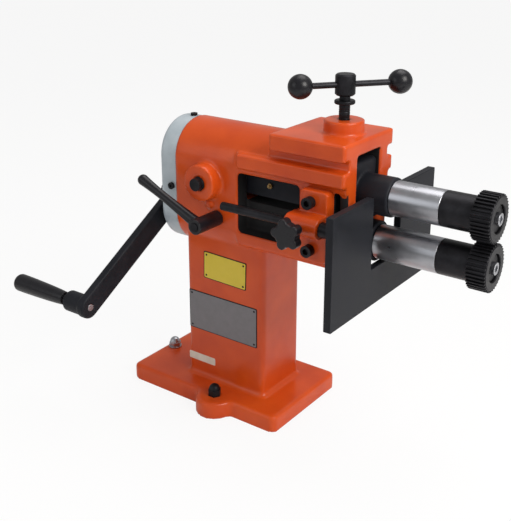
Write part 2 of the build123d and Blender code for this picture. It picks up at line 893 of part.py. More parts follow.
lower_shaft.part.label = "lower_shaft"
export_step(lower_shaft.part, "parts/lower_shaft.step")

# --- keys: one under each gear, one under each roll and one in the crank's hub ---
with BuildPart() as upper_gear_key:
    key(gear_key_start_x, gear_end_x, gear_bore_radius, upper_axis_z)
upper_gear_key.part.label = "upper_gear_key"
export_step(upper_gear_key.part, "parts/upper_gear_key.step")

with BuildPart() as lower_gear_key:
    key(gear_key_start_x, gear_end_x, gear_bore_radius, lower_axis_z)
lower_gear_key.part.label = "lower_gear_key"
export_step(lower_gear_key.part, "parts/lower_gear_key.step")

with BuildPart() as upper_roll_key:
    key(roll_key_start_x, roll_key_end_x, roll_bore, upper_axis_z)
upper_roll_key.part.label = "upper_roll_key"
export_step(upper_roll_key.part, "parts/upper_roll_key.step")

with BuildPart() as lower_roll_key:
    key(roll_key_start_x, roll_key_end_x, roll_bore, lower_axis_z)
lower_roll_key.part.label = "lower_roll_key"
export_step(lower_roll_key.part, "parts/lower_roll_key.step")

with BuildPart() as crank_key:
    key(crank_key_start_x, crank_key_end_x, crank_seat_radius, lower_axis_z)
crank_key.part.label = "crank_key"
export_step(crank_key.part, "parts/crank_key.step")

# ring that keeps the upper gear on, and the spacer between crank and lower gear
with BuildPart() as upper_gear_ring:
    ring_start_x = gear_start_x - gear_ring_thickness
    ring_radius = gear_bore_radius + gear_ring_width
    along_x(ring_start_x, gear_start_x, ring_radius, 0, upper_axis_z)
    along_x(ring_start_x, gear_start_x, gear_bore_radius, 0, upper_axis_z, Mode.SUBTRACT)
upper_gear_ring.part.label = "upper_gear_ring"
export_step(upper_gear_ring.part, "parts/upper_gear_ring.step")

with BuildPart() as crank_spacer:
    along_x(crank_hub_end_x, gear_start_x, collar_radius, 0, lower_axis_z)
    along_x(crank_hub_end_x, gear_start_x, gear_bore_radius, 0, lower_axis_z, Mode.SUBTRACT)
crank_spacer.part.label = "crank_spacer"
export_step(crank_spacer.part, "parts/crank_spacer.step")


# --- crimping rolls: long round hub, toothed rim and a recess for the end washer ---
def roll(z, turn):
    root = (roll_radius - tooth_depth, tooth_root_share)
    tip = (roll_radius, tooth_tip_share)
    with BuildSketch(Plane.YZ.offset(roll_start_x)) as rim:
        make_face(toothed_outline(roll_teeth, root, tip, turn, z))
    extrude(rim.sketch, amount=roll_width)
    along_x(bright_shaft_end_x, roll_start_x, shaft_radius, 0, z)
    along_x(bright_shaft_end_x, roll_end_x, roll_bore, 0, z, Mode.SUBTRACT)
    key(bright_shaft_end_x, roll_key_end_x, roll_bore, z, Mode.SUBTRACT)
    along_x(recess_floor_x, roll_end_x, roll_recess_radius, 0, z, Mode.SUBTRACT)


with BuildPart() as upper_roll:
    roll(upper_axis_z, -90)
upper_roll.part.label = "upper_roll"
export_step(upper_roll.part, "parts/upper_roll.step")

with BuildPart() as lower_roll:
    roll(lower_axis_z, 90 + 180 / roll_teeth)
lower_roll.part.label = "lower_roll"
export_step(lower_roll.part, "parts/lower_roll.step")

washer_face_x = recess_floor_x + washer_thickness
washer_hole = end_screw_size / 2 + end_gap


# Washer sunk in the roll's recess.
def end_washer(z):
    along_x(recess_floor_x, washer_face_x, roll_recess_radius - 1, 0, z)
    along_x(recess_floor_x, washer_face_x, washer_hole, 0, z, Mode.SUBTRACT)


# Socket screw that draws the roll onto the shaft.
def end_screw(z):
    along_x(shaft_end_x - end_screw_grip, washer_face_x, end_screw_size / 2, 0, z)
    along_x(washer_face_x, washer_face_x + end_screw_head, end_screw_size * 0.8, 0, z)
    with BuildSketch(Plane.YZ.offset(washer_face_x + end_screw_head)) as socket:
        with Locations((0, z)):
            RegularPolygon(end_screw_size * 0.46, 6)
    extrude(socket.sketch, amount=-end_screw_socket, mode=Mode.SUBTRACT)


with BuildPart() as upper_end_washer:
    end_washer(upper_axis_z)
upper_end_washer.part.label = "upper_end_washer"
export_step(upper_end_washer.part, "parts/upper_end_washer.step")

with BuildPart() as lower_end_washer:
    end_washer(lower_axis_z)
lower_end_washer.part.label = "lower_end_washer"
export_step(lower_end_washer.part, "parts/lower_end_washer.step")

with BuildPart() as upper_end_screw:
    end_screw(upper_axis_z)
upper_end_screw.part.label = "upper_end_screw"
export_step(upper_end_screw.part, "parts/upper_end_screw.step")

with BuildPart() as lower_end_screw:
    end_screw(lower_axis_z)
lower_end_screw.part.label = "lower_end_screw"
export_step(lower_end_screw.part, "parts/lower_end_screw.step")

# --- pressure screw with its tee handle ---
foot_seat_z = foot_top_z - foot_seat
screw_tip_radius = screw_radius * 0.6
bar_direction = Vector(1, 0, 0).rotate(Axis.Z, tee_bar_angle)
bar_centre = Vector(screw_x, 0, tee_bar_z) + bar_direction * tee_bar_shift
with BuildPart() as pressure_screw:
    along_z(foot_top_z, tee_hub_bottom_z, screw_radius, screw_x)
    along_z(foot_seat_z, foot_top_z, screw_tip_radius, screw_x)
    along_z(tee_hub_bottom_z, tee_hub_top_z, tee_hub_radius, screw_x)
    hub_edges = pressure_screw.edges().filter_by_position(
        Axis.Z, tee_hub_bottom_z - end_gap, tee_hub_top_z + end_gap
    )
    chamfer(hub_edges.filter_by(GeomType.CIRCLE).sort_by(SortBy.RADIUS)[-2:], tee_hub_bevel)
    with BuildSketch(Plane(origin=(screw_x, 0, tee_bar_z), z_dir=bar_direction)) as cross:
        Circle(tee_bar_radius + running_gap)
    extrude(cross.sketch, amount=tee_hub_radius + 1, both=True, mode=Mode.SUBTRACT)
pressure_screw.part.label = "pressure_screw"
export_step(pressure_screw.part, "parts/pressure_screw.step")

with BuildPart() as screw_lock_ring:
    lock_ring_top_z = lock_ring_z + lock_ring_height
    along_z(lock_ring_z, lock_ring_top_z, lock_ring_radius, screw_x)
    chamfer(screw_lock_ring.edges().filter_by(GeomType.CIRCLE), lock_ring_height / 5)
    along_z(lock_ring_z, lock_ring_top_z, screw_radius, screw_x, 0, Mode.SUBTRACT)
screw_lock_ring.part.label = "screw_lock_ring"
export_step(screw_lock_ring.part, "parts/screw_lock_ring.step")

with BuildPart() as thrust_foot:
    along_z(foot_top_z - foot_height, foot_top_z, foot_radius, screw_x)
    chamfer(thrust_foot.edges().group_by(Axis.Z)[0], foot_height / 6)
    along_z(
        foot_seat_z - end_gap,
        foot_top_z,
        screw_tip_radius + running_gap,
        screw_x,
        0,
        Mode.SUBTRACT,
    )
thrust_foot.part.label = "thrust_foot"
export_step(thrust_foot.part, "parts/thrust_foot.step")

with BuildPart() as tee_bar:
    with BuildSketch(Plane(origin=bar_centre, z_dir=bar_direction)) as bar_section:
        Circle(tee_bar_radius)
    extrude(bar_section.sketch, amount=tee_bar_half_length, both=True)
tee_bar.part.label = "tee_bar"
export_step(tee_bar.part, "parts/tee_bar.step")

with BuildPart() as ball_knobs:
    for side in (-1, 1):
        with Locations(bar_centre + bar_direction * (side * tee_bar_half_length)):
            Sphere(ball_radius)
    with BuildSketch(Plane(origin=bar_centre, z_dir=bar_direction)) as bar_section:
        Circle(tee_bar_radius)
    extrude(bar_section.sketch, amount=tee_bar_half_length, both=True, mode=Mode.SUBTRACT)
ball_knobs.part.label = "ball_knobs"
export_step(ball_knobs.part, "parts/ball_knobs.step")

# --- fence plate with its two guide rods ---
with BuildPart() as fence_plate:
    with BuildSketch(Plane.YZ.offset(fence_back_x)):
        with Locations((0, (fence_bottom_z + fence_top_z) / 2)):
            RectangleRounded(2 * fence_half_width, fence_top_z - fence_bottom_z, fence_corner)
        with Locations((0, fence_slot_bottom_z)):
            Rectangle(
                2 * fence_slot_half_width,
                fence_top_z - fence_slot_bottom_z + fence_corner,
                align=(Align.CENTER, Align.MIN),
                mode=Mode.SUBTRACT,
            )
        slot_corners = [
            v
            for v in vertices()
            if abs(v.Z - fence_slot_bottom_z) < end_gap
            and abs(v.Y) < fence_slot_half_width + end_gap
        ]
        fillet(slot_corners, fence_slot_corner)
    extrude(amount=fence_thickness)
    for side in (-1, 1):
        along_x(fence_back_x, rod_front_x, rod_radius, side * rod_y, rod_z, Mode.SUBTRACT)
fence_plate.part.label = "fence_plate"
export_step(fence_plate.part, "parts/fence_plate.step")

with BuildPart() as guide_rods:
    for side in (-1, 1):
        along_x(rod_rear_x, rod_front_x, rod_radius, side * rod_y, rod_z)
        collar_back_x = bracket_boss_end_x + rod_collar_gap
        along_x(collar_back_x, fence_back_x, rod_collar_radius, side * rod_y, rod_z)
guide_rods.part.label = "guide_rods"
export_step(guide_rods.part, "parts/guide_rods.step")


# Bolted bracket that carries one guide rod: a flat pad with a boss along the rod.
def rod_bracket(side):
    with BuildSketch(Plane.XZ.offset(-side * head_half_width)) as pad:
        with Locations(((bracket_start_x + post_end_x) / 2, bracket_middle_z)):
            RectangleRounded(bracket_width, bracket_height, bracket_corner)
        with Locations((knob_x, rod_z)):
            RectangleRounded(bracket_boss_length, 2 * bracket_boss_radius, bracket_boss_corner)
    extrude(pad.sketch, amount=-side * bracket_thickness)
    outer_edges = edges().group_by(Axis.Y)[0 if side < 0 else -1]
    fillet(outer_edges, bracket_edge)
    inner_y = side * (bracket_face_y - bracket_edge)
    block(
        (bracket_boss_start_x, min(side * rod_y, inner_y), rod_z - bracket_boss_radius),
        (bracket_boss_end_x, max(side * rod_y, inner_y), rod_z + bracket_boss_radius),
    )
    boss = (bracket_boss_start_x, bracket_boss_end_x)
    along_x(*boss, bracket_boss_radius, side * rod_y, rod_z)
    along_x(*boss, rod_radius + running_gap, side * rod_y, rod_z, Mode.SUBTRACT)
    along_y(
        side * rod_y,
        side * (rod_y + bracket_boss_radius),
        knob_stud_radius + running_gap,
        knob_x,
        rod_z,
        Mode.SUBTRACT,
    )
    for height in (-1, 1):
        along_y(
            side * head_half_width,
            side * bracket_face_y,
            cap_screw_size / 2,
            bracket_screw_x,
            bracket_middle_z + height * bracket_screw_spacing / 2,
            Mode.SUBTRACT,
        )


with BuildPart() as near_rod_bracket:
    rod_bracket(-1)
near_rod_bracket.part.label = "near_rod_bracket"
export_step(near_rod_bracket.part, "parts/near_rod_bracket.step")

with BuildPart() as far_rod_bracket:
    rod_bracket(1)
far_rod_bracket.part.label = "far_rod_bracket"
export_step(far_rod_bracket.part, "parts/far_rod_bracket.step")

with BuildPart() as bracket_screws:
    for side in (-1, 1):
        for height in (-1, 1):
            screw_z = bracket_middle_z + height * bracket_screw_spacing / 2
            face_y = side * bracket_face_y
            tip_y = side * (head_half_width - bracket_screw_grip)
            along_y(tip_y, face_y, cap_screw_size / 2, bracket_screw_x, screw_z)
            head_end_y = face_y + side * cap_screw_size
            along_y(face_y, head_end_y, cap_screw_size * 0.8, bracket_screw_x, screw_z)
bracket_screws.part.label = "bracket_screws"
export_step(bracket_screws.part, "parts/bracket_screws.step")


# Star knob moulded on its stud; the stud's tip bears on the guide rod.
def star_knob(side):
    with BuildSketch(Plane.XZ.offset(-side * knob_face_y)) as lobes:
        with Locations((knob_x, rod_z)):
            Circle(knob_radius - knob_lobe_radius + 1)
            reach = knob_radius - knob_lobe_radius
            with PolarLocations(reach, knob_lobes, start_angle=knob_lobe_start):
                Circle(knob_lobe_radius)
    extrude(lobes.sketch, amount=-side * knob_thickness)
    fillet(edges().group_by(Axis.Y)[0], knob_edge)
    fillet(edges().group_by(Axis.Y)[-1], knob_edge)
    along_y(side * knob_hub_y, side * knob_face_y, knob_hub_radius, knob_x, rod_z)
    stud_depth_y = side * (knob_face_y + knob_edge)
    along_y(
        side * knob_hub_y, stud_depth_y, knob_stud_radius, knob_x, rod_z, Mode.SUBTRACT
    )


def knob_stud(side):
    tip_y = side * (rod_y + rod_radius + end_gap)
    along_y(tip_y, side * (knob_face_y + knob_edge), knob_stud_radius, knob_x, rod_z)


with BuildPart() as near_star_knob:
    star_knob(-1)
near_star_knob.part.label = "near_star_knob"
export_step(near_star_knob.part, "parts/near_star_knob.step")

with BuildPart() as far_star_knob:
    star_knob(1)
far_star_knob.part.label = "far_star_knob"
export_step(far_star_knob.part, "parts/far_star_knob.step")

with BuildPart() as near_knob_stud:
    knob_stud(-1)
near_knob_stud.part.label = "near_knob_stud"
export_step(near_knob_stud.part, "parts/near_knob_stud.step")

with BuildPart() as far_knob_stud:
    knob_stud(1)
far_knob_stud.part.label = "far_knob_stud"
export_step(far_knob_stud.part, "parts/far_knob_stud.step")

# --- clamp lever that locks the quill ---
lever_direction = Vector(cos(radians(lever_angle)), 0, sin(radians(lever_angle)))
lever_root = Vector(lever_x, lever_end_y + lever_hub_radius, lower_axis_z)
pad_start_y = -quill_radius - clamp_pad_gap
pad_end_y = pad_start_y - clamp_pad_length
with BuildPart() as clamp_lever:
    along_y(lever_start_y, lever_end_y, lever_hub_radius, lever_x, lower_axis_z)
    for share, radius in lever_sections:
        section_centre = lever_root + lever_direction * (share * lever_reach)
        with BuildSketch(Plane(origin=section_centre, z_dir=lever_direction)):
            Circle(radius)
    loft()
    with Locations(lever_root + lever_direction * lever_reach):
        Sphere(lever_ball_radius)
    along_y(lever_start_y, lever_end_y, lever_stud_radius, lever_x, lower_axis_z, Mode.SUBTRACT)
clamp_lever.part.label = "clamp_lever"
export_step(clamp_lever.part, "parts/clamp_lever.step")

with BuildPart() as clamp_stud:
    stud_end_y = lever_end_y - lever_stud_proud
    along_y(pad_end_y, stud_end_y, lever_stud_radius, lever_x, lower_axis_z)
clamp_stud.part.label = "clamp_stud"
export_step(clamp_stud.part, "parts/clamp_stud.step")

with BuildPart() as clamp_pad:
    pad_radius = lever_stud_radius - clamp_pad_inset
    along_y(pad_start_y, pad_end_y, pad_radius, lever_x, lower_axis_z)
clamp_pad.part.label = "clamp_pad"
export_step(clamp_pad.part, "parts/clamp_pad.step")

# --- crank ---
with BuildPart() as crank_arm:
    with BuildSketch(Plane.YZ.offset(crank_back_x)) as arm_outline:
        with Locations((handle_y / 2, (lower_axis_z + handle_z) / 2)):
            SlotCenterToCenter(crank_radius, crank_width, rotation=crank_angle)
    extrude(arm_outline.sketch, amount=crank_thickness)
    fillet(crank_arm.edges().group_by(Axis.X)[0], crank_edge)
    fillet(crank_arm.edges().group_by(Axis.X)[-1], crank_edge)
    along_x(crank_hub_start_x, crank_hub_end_x, crank_hub_radius, 0, lower_axis_z)
    boss_radius = crank_width / 2 - crank_edge / 2
    along_x(handle_boss_end_x, crank_back_x + crank_edge, boss_radius, handle_y, handle_z)
    hub = (crank_hub_start_x, crank_hub_end_x)
    along_x(*hub, crank_seat_radius, 0, lower_axis_z, Mode.SUBTRACT)
    key(*hub, crank_seat_radius, lower_axis_z, Mode.SUBTRACT)
    along_x(
        handle_boss_end_x, crank_face_x, spindle_radius, handle_y, handle_z, Mode.SUBTRACT
    )
crank_arm.part.label = "crank_arm"
export_step(crank_arm.part, "parts/crank_arm.step")

crank_washer_x = crank_hub_start_x - washer_thickness
with BuildPart() as crank_washer:
    along_x(crank_washer_x, crank_hub_start_x, crank_seat_radius + 4, 0, lower_axis_z)
    along_x(crank_washer_x, crank_hub_start_x, washer_hole, 0, lower_axis_z, Mode.SUBTRACT)
crank_washer.part.label = "crank_washer"
export_step(crank_washer.part, "parts/crank_washer.step")

with BuildPart() as crank_screw:
    with BuildSketch(Plane.YZ.offset(crank_washer_x)) as hexagon:
        with Locations((0, lower_axis_z)):
            RegularPolygon(nut_size / sqrt(3), 6)
    extrude(hexagon.sketch, amount=-end_screw_head)
    along_x(crank_washer_x, crank_thread_end_x, end_screw_size / 2, 0, lower_axis_z)
crank_screw.part.label = "crank_screw"
export_step(crank_screw.part, "parts/crank_screw.step")

spindle_head_end_x = spindle_tail_x + spindle_head_length
with BuildPart() as handle_spindle:
    along_x(spindle_tail_x, crank_face_x, spindle_radius, handle_y, handle_z)
    head_radius = spindle_radius + spindle_head
    along_x(spindle_tail_x, spindle_head_end_x, head_radius, handle_y, handle_z)
handle_spindle.part.label = "handle_spindle"
export_step(handle_spindle.part, "parts/handle_spindle.step")

with BuildPart() as handle_grip:
    with BuildSketch(Plane(origin=(0, handle_y, handle_z), x_dir=(1, 0, 0), z_dir=(0, -1, 0))):
        with BuildLine():
            round_end_x = grip_end_x + grip_end_round
            belly_x = grip_end_x + grip_length * grip_belly_share
            Polyline((grip_end_x, 0), (grip_end_x, grip_end_radius))
            Polyline((grip_start_x, grip_small_radius), (grip_start_x, 0), (grip_end_x, 0))
            RadiusArc(
                (grip_end_x, grip_end_radius), (round_end_x, grip_large_radius), grip_end_round
            )
            Spline(
                (round_end_x, grip_large_radius),
                (belly_x, grip_large_radius - 1),
                (grip_start_x, grip_small_radius),
                tangents=((1, 0), (1, -0.1)),
            )
        make_face()
    revolve(axis=Axis((0, handle_y, handle_z), (1, 0, 0)))
    bore_start_x = spindle_tail_x - end_gap
    along_x(
        bore_start_x,
        grip_start_x,
        spindle_radius + running_gap,
        handle_y,
        handle_z,
        Mode.SUBTRACT,
    )
    along_x(
        bore_start_x,
        spindle_head_end_x + end_gap,
        head_radius + running_gap,
        handle_y,
        handle_z,
        Mode.SUBTRACT,
    )
handle_grip.part.label = "handle_grip"
export_step(handle_grip.part, "parts/handle_grip.step")


# --- hold-down nuts on the base ---
# Domed cap nut standing over a base hole, open from below.
def cap_nut(x, y, seat_z, height):
    dome_radius = (nut_size - 1) / 2
    with BuildSketch(Plane.XY.offset(seat_z)) as hexagon:
        with Locations((x, y)):
            RegularPolygon(nut_size / sqrt(3), 6)
    extrude(hexagon.sketch, amount=height - dome_radius)
    with Locations((x, y, seat_z + height - dome_radius)):
        Sphere(dome_radius, arc_size1=0, align=(Align.CENTER, Align.CENTER, Align.MIN))
    along_z(seat_z, seat_z + height / 2, nut_thread_radius, x, y, Mode.SUBTRACT)


with BuildPart() as lug_cap_nuts:
    for side in (-1, 1):
        cap_nut(lug_x, side * lug_y, base_thickness, lug_nut_height)
lug_cap_nuts.part.label = "lug_cap_nuts"
export_step(lug_cap_nuts.part, "parts/lug_cap_nuts.step")

rear_nut_seat_z = base_thickness + nut_washer_thickness
with BuildPart() as rear_washer:
    along_z(base_thickness, rear_nut_seat_z, nut_washer_radius, rear_hole_x)
    bolt_hole = nut_thread_radius + end_gap
    along_z(base_thickness, rear_nut_seat_z, bolt_hole, rear_hole_x, 0, Mode.SUBTRACT)
rear_washer.part.label = "rear_washer"
export_step(rear_washer.part, "parts/rear_washer.step")

with BuildPart() as rear_cap_nut:
    cap_nut(rear_hole_x, 0, rear_nut_seat_z, rear_nut_height)
rear_cap_nut.part.label = "rear_cap_nut"
export_step(rear_cap_nut.part, "parts/rear_cap_nut.step")
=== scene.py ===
import json
import math

import bmesh
import bpy
from mathutils import Matrix, Vector


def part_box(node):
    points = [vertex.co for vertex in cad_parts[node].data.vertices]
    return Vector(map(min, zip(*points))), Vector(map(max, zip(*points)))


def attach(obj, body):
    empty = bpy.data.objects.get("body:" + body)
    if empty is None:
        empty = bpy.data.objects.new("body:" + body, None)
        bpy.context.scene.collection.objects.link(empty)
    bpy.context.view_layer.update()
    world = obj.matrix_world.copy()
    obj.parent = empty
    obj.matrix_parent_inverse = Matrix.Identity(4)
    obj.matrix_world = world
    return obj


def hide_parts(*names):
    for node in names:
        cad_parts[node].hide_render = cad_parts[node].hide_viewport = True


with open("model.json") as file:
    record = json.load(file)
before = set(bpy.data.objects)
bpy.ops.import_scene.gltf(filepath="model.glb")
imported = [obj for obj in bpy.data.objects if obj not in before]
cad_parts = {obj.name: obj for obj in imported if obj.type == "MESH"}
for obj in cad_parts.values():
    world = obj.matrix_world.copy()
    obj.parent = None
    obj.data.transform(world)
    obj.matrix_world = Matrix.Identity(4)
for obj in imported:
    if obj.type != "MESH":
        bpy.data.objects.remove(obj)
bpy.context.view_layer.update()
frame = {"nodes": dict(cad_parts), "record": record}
nodes = frame["nodes"]
print("frame loaded:", len(nodes), "nodes")


# small helpers for places


def middle(node):
    low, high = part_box(node)
    return (low + high) / 2


# materials


def newMaterial(name):
    material = bpy.data.materials.new(name)
    material.use_nodes = True
    tree = material.node_tree
    shader = tree.nodes["Principled BSDF"]
    return material, tree, shader


def addNode(tree, kind, **values):
    node = tree.nodes.new(kind)
    for key, value in values.items():
        setattr(node, key, value)
    return node


def noiseNode(tree, scale, detail=4.0, roughness=0.5):
    coord = addNode(tree, "ShaderNodeTexCoord")
    noise = addNode(tree, "ShaderNodeTexNoise")
    noise.inputs["Scale"].default_value = scale
    noise.inputs["Detail"].default_value = detail
    noise.inputs["Roughness"].default_value = roughness
    tree.links.new(coord.outputs["Object"], noise.inputs["Vector"])
    return noise


def rampNode(tree, source, stops):
    ramp = addNode(tree, "ShaderNodeValToRGB")
    elements = ramp.color_ramp.elements
    for index, (place, colour) in enumerate(stops):
        element = elements[index] if index < 2 else elements.new(place)
        element.position = place
        element.color = (*colour, 1) if len(colour) == 3 else colour
    tree.links.new(source, ramp.inputs["Fac"])
    return ramp


def mathNode(tree, operation, first, second=None):
    node = addNode(tree, "ShaderNodeMath", operation=operation)
    for socket, value in zip(node.inputs, (first, second)):
        if value is None:
            continue
        if isinstance(value, (int, float)):
            socket.default_value = value
        else:
            tree.links.new(value, socket)
    return node.outputs[0]


def bumpChain(tree, shader, layers):
    previous = None
    for height, strength, distance in layers:
        bump = addNode(tree, "ShaderNodeBump")
        bump.inputs["Strength"].default_value = strength
        bump.inputs["Distance"].default_value = distance
        tree.links.new(height, bump.inputs["Height"])
        if previous:
            tree.links.new(previous, bump.inputs["Normal"])
        previous = bump.outputs["Normal"]
    tree.links.new(previous, shader.inputs["Normal"])


def rangeMask(tree, value, low, high):
    above = mathNode(tree, "GREATER_THAN", value, low)
    below = mathNode(tree, "LESS_THAN", value, high)
    return mathNode(tree, "MULTIPLY", above, below)


paintLook = {
    "deep": (0.50, 0.050, 0.005),
    "bright": (0.64, 0.082, 0.008),
    "specular": 0.28,
    "gloss": 0.30,
    "coat": 0.14,
    "coatRoughness": 0.10,
    "peelScale": 420,
    "peelBump": (0.08, 0.0003),
    "waveScale": 38,
    "waveBump": (0.25, 0.0012),
    "cloudShare": 0.4,
    # black paint and painted shade for the unlit insides of the side windows and the front slot
    "blackPaintAndShade": (0.012, 0.012, 0.013),
    "insideRougher": 0.45,
}


def orangePaint():
    look = paintLook
    material, tree, shader = newMaterial("orangePaint")
    clouds = noiseNode(tree, look["waveScale"] * look["cloudShare"], 5)
    colour = rampNode(tree, clouds.outputs["Fac"], ((0.3, look["deep"]), (0.7, look["bright"])))
    shader.inputs["Specular IOR Level"].default_value = look["specular"]
    shader.inputs["Coat Weight"].default_value = look["coat"]
    shader.inputs["Coat Roughness"].default_value = look["coatRoughness"]
    peel = noiseNode(tree, look["peelScale"], 2)
    wave = noiseNode(tree, look["waveScale"], 3)
    bumpChain(
        tree,
        shader,
        ((wave.outputs["Fac"], *look["waveBump"]), (peel.outputs["Fac"], *look["peelBump"])),
    )
    return material, tree, shader, colour, look


def framePaint(windowBox, slotBox):
    # orange outside; black paint and painted shade in the side windows and the front slot
    material, tree, shader, colour, look = orangePaint()
    coord = addNode(tree, "ShaderNodeTexCoord")
    split = addNode(tree, "ShaderNodeSeparateXYZ")
    tree.links.new(coord.outputs["Object"], split.inputs[0])
    x, z = split.outputs["X"], split.outputs["Z"]
    side = mathNode(tree, "ABSOLUTE", split.outputs["Y"])
    masks = []
    for low, high in (windowBox, slotBox):
        mask = rangeMask(tree, x, low[0], high[0])
        mask = mathNode(tree, "MULTIPLY", mask, rangeMask(tree, side, low[1], high[1]))
        masks.append(mathNode(tree, "MULTIPLY", mask, rangeMask(tree, z, low[2], high[2])))
    inside = mathNode(tree, "MAXIMUM", masks[0], masks[1])
    mix = addNode(tree, "ShaderNodeMix", data_type="RGBA")
    tree.links.new(inside, mix.inputs["Factor"])
    tree.links.new(colour.outputs["Color"], mix.inputs["A"])
    # black paint and painted shade where the window and slot masks are on
    mix.inputs["B"].default_value = (*look["blackPaintAndShade"], 1)
    tree.links.new(mix.outputs["Result"], shader.inputs["Base Color"])
    rough = mathNode(tree, "MULTIPLY", inside, look["insideRougher"])
    outside = mathNode(tree, "SUBTRACT", 1, inside)
    coat = mathNode(tree, "MULTIPLY", outside, look["coat"])
    tree.links.new(coat, shader.inputs["Coat Weight"])
    tree.links.new(mathNode(tree, "ADD", rough, look["gloss"]), shader.inputs["Roughness"])
    return material


def plainPaint():
    material, tree, shader, colour, look = orangePaint()
    material.name = "orangePaintSmall"
    tree.links.new(colour.outputs["Color"], shader.inputs["Base Color"])
    shader.inputs["Roughness"].default_value = look["gloss"]
    return material


finishes = {
    "coverPaint": {
        "dark": (0.36, 0.42, 0.46), "light": (0.46, 0.52, 0.56), "rough": (0.34, 0.42),
        "metal": 0.0, "specular": 0.35, "coat": 0.3, "grain": 300, "bump": 0.06,
    },
    "blackPaint": {
        "dark": (0.007, 0.008, 0.011), "light": (0.014, 0.015, 0.020), "rough": (0.42, 0.54),
        "metal": 0.0, "specular": 0.16, "coat": 0.0, "grain": 260, "bump": 0.10,
    },
    "blackSteel": {
        "dark": (0.012, 0.012, 0.014), "light": (0.026, 0.026, 0.030), "rough": (0.34, 0.48),
        "metal": 0.7, "specular": 0.25, "coat": 0.0, "grain": 500, "bump": 0.06,
    },
    "blackPlastic": {
        "dark": (0.006, 0.006, 0.008), "light": (0.010, 0.010, 0.013), "rough": (0.26, 0.36),
        "metal": 0.0, "specular": 0.3, "coat": 0.0, "grain": 900, "bump": 0.05,
    },
    "bronze": {
        "dark": (0.30, 0.19, 0.08), "light": (0.48, 0.33, 0.15), "rough": (0.28, 0.42),
        "metal": 1.0, "specular": 0.5, "coat": 0.0, "grain": 400, "bump": 0.05,
    },
    "yellowPlate": {
        "dark": (0.62, 0.47, 0.03), "light": (0.66, 0.50, 0.04), "rough": (0.32, 0.45),
        "metal": 0.0, "specular": 0.3, "coat": 0.2, "grain": 500, "bump": 0.04,
    },
    "silverPlate": {
        "dark": (0.16, 0.155, 0.16), "light": (0.19, 0.18, 0.19), "rough": (0.34, 0.48),
        "metal": 0.5, "specular": 0.4, "coat": 0.0, "grain": 700, "bump": 0.04,
    },
    "paleSticker": {
        "dark": (0.62, 0.55, 0.46), "light": (0.72, 0.66, 0.58), "rough": (0.45, 0.6),
        "metal": 0.0, "specular": 0.3, "coat": 0.0, "grain": 400, "bump": 0.02,
    },
}
cloudLook = {"share": 0.12, "detail": 5, "roughness": 0.6}
grainDepth = 0.0004


def surfaceFinish(name):
    look = finishes[name]
    material, tree, shader = newMaterial(name)
    cloudScale = look["grain"] * cloudLook["share"]
    clouds = noiseNode(tree, cloudScale, cloudLook["detail"], cloudLook["roughness"])
    colour = rampNode(tree, clouds.outputs["Fac"], ((0.3, look["dark"]), (0.7, look["light"])))
    tree.links.new(colour.outputs["Color"], shader.inputs["Base Color"])
    low, high = look["rough"]
    rough = rampNode(tree, clouds.outputs["Fac"], ((0.25, (low,) * 3), (0.75, (high,) * 3)))
    tree.links.new(rough.outputs["Color"], shader.inputs["Roughness"])
    shader.inputs["Metallic"].default_value = look["metal"]
    shader.inputs["Specular IOR Level"].default_value = look["specular"]
    shader.inputs["Coat Weight"].default_value = look["coat"]
    grain = noiseNode(tree, look["grain"], 3)
    bumpChain(tree, shader, ((grain.outputs["Fac"], look["bump"], grainDepth),))
    return material


steelLook = {
    "colour": (0.42, 0.43, 0.46),
    "darker": 0.8,
    "rough": (0.26, 0.38),
    "ringScale": 900,
    "ringStretch": (1, 0.02, 0.02),
    "ringBump": (0.05, 0.0002),
    "cloudScale": 45,
}


def turnedSteel():
    # fine rings left by the lathe, across the shafts
    look = steelLook
    material, tree, shader = newMaterial("turnedSteel")
    coord = addNode(tree, "ShaderNodeTexCoord")
    mapping = addNode(tree, "ShaderNodeMapping")
    mapping.inputs["Scale"].default_value = look["ringStretch"]
    tree.links.new(coord.outputs["Object"], mapping.inputs["Vector"])
    rings = addNode(tree, "ShaderNodeTexNoise")
    rings.inputs["Scale"].default_value = look["ringScale"]
    rings.inputs["Detail"].default_value = 3
    tree.links.new(mapping.outputs["Vector"], rings.inputs["Vector"])
    clouds = noiseNode(tree, look["cloudScale"], cloudLook["detail"], cloudLook["roughness"])
    low, high = look["rough"]
    rough = rampNode(tree, clouds.outputs["Fac"], ((0.3, (low,) * 3), (0.7, (high,) * 3)))
    tree.links.new(rough.outputs["Color"], shader.inputs["Roughness"])
    base = tuple(c * look["darker"] for c in look["colour"])
    colour = rampNode(tree, clouds.outputs["Fac"], ((0.25, base), (0.6, look["colour"])))
    tree.links.new(colour.outputs["Color"], shader.inputs["Base Color"])
    shader.inputs["Metallic"].default_value = 1.0
    bumpChain(tree, shader, ((rings.outputs["Fac"], *look["ringBump"]),))
    return material


# low and high corners of the regions of black paint and painted shade, with y taken without its
# sign
windowBox =((0.0505, 0.0, 0.2765), (0.2236, 0.0516, 0.3635))
slotBox = ((0.0505, 0.0, 0.3175), (0.2232, 0.0297, 0.4088))
materials = {name: surfaceFinish(name) for name in finishes}
materials["turnedSteel"] = turnedSteel()
materials["framePaint"] = framePaint(windowBox, slotBox)
materials["smallPaint"] = plainPaint()
slotMaterials = {
    "orange_paint": "smallPaint",
    "cover_paint": "coverPaint",
    "black_paint": "blackPaint",
    "black_steel": "blackSteel",
    "bright_steel": "turnedSteel",
    "bronze": "bronze",
    "black_plastic": "blackPlastic",
}
slotOfNode = {part["node"]: part["material_slot"] for part in frame["record"]["subparts"]}
bodies = frame["record"]["behaviour"]["bodies"]
bodyOfNode = {node: body for body, members in bodies.items() for node in members}
print("materials made")


# meshes

joinDistance = 1e-6
flatAngle = math.radians(0.6)
shadeAngle = {"machined": 32, "casting": 50, "rivet": 60}
bevelLook = {"segments": 2, "angle": math.radians(35)}
smoothFactor = 0.5


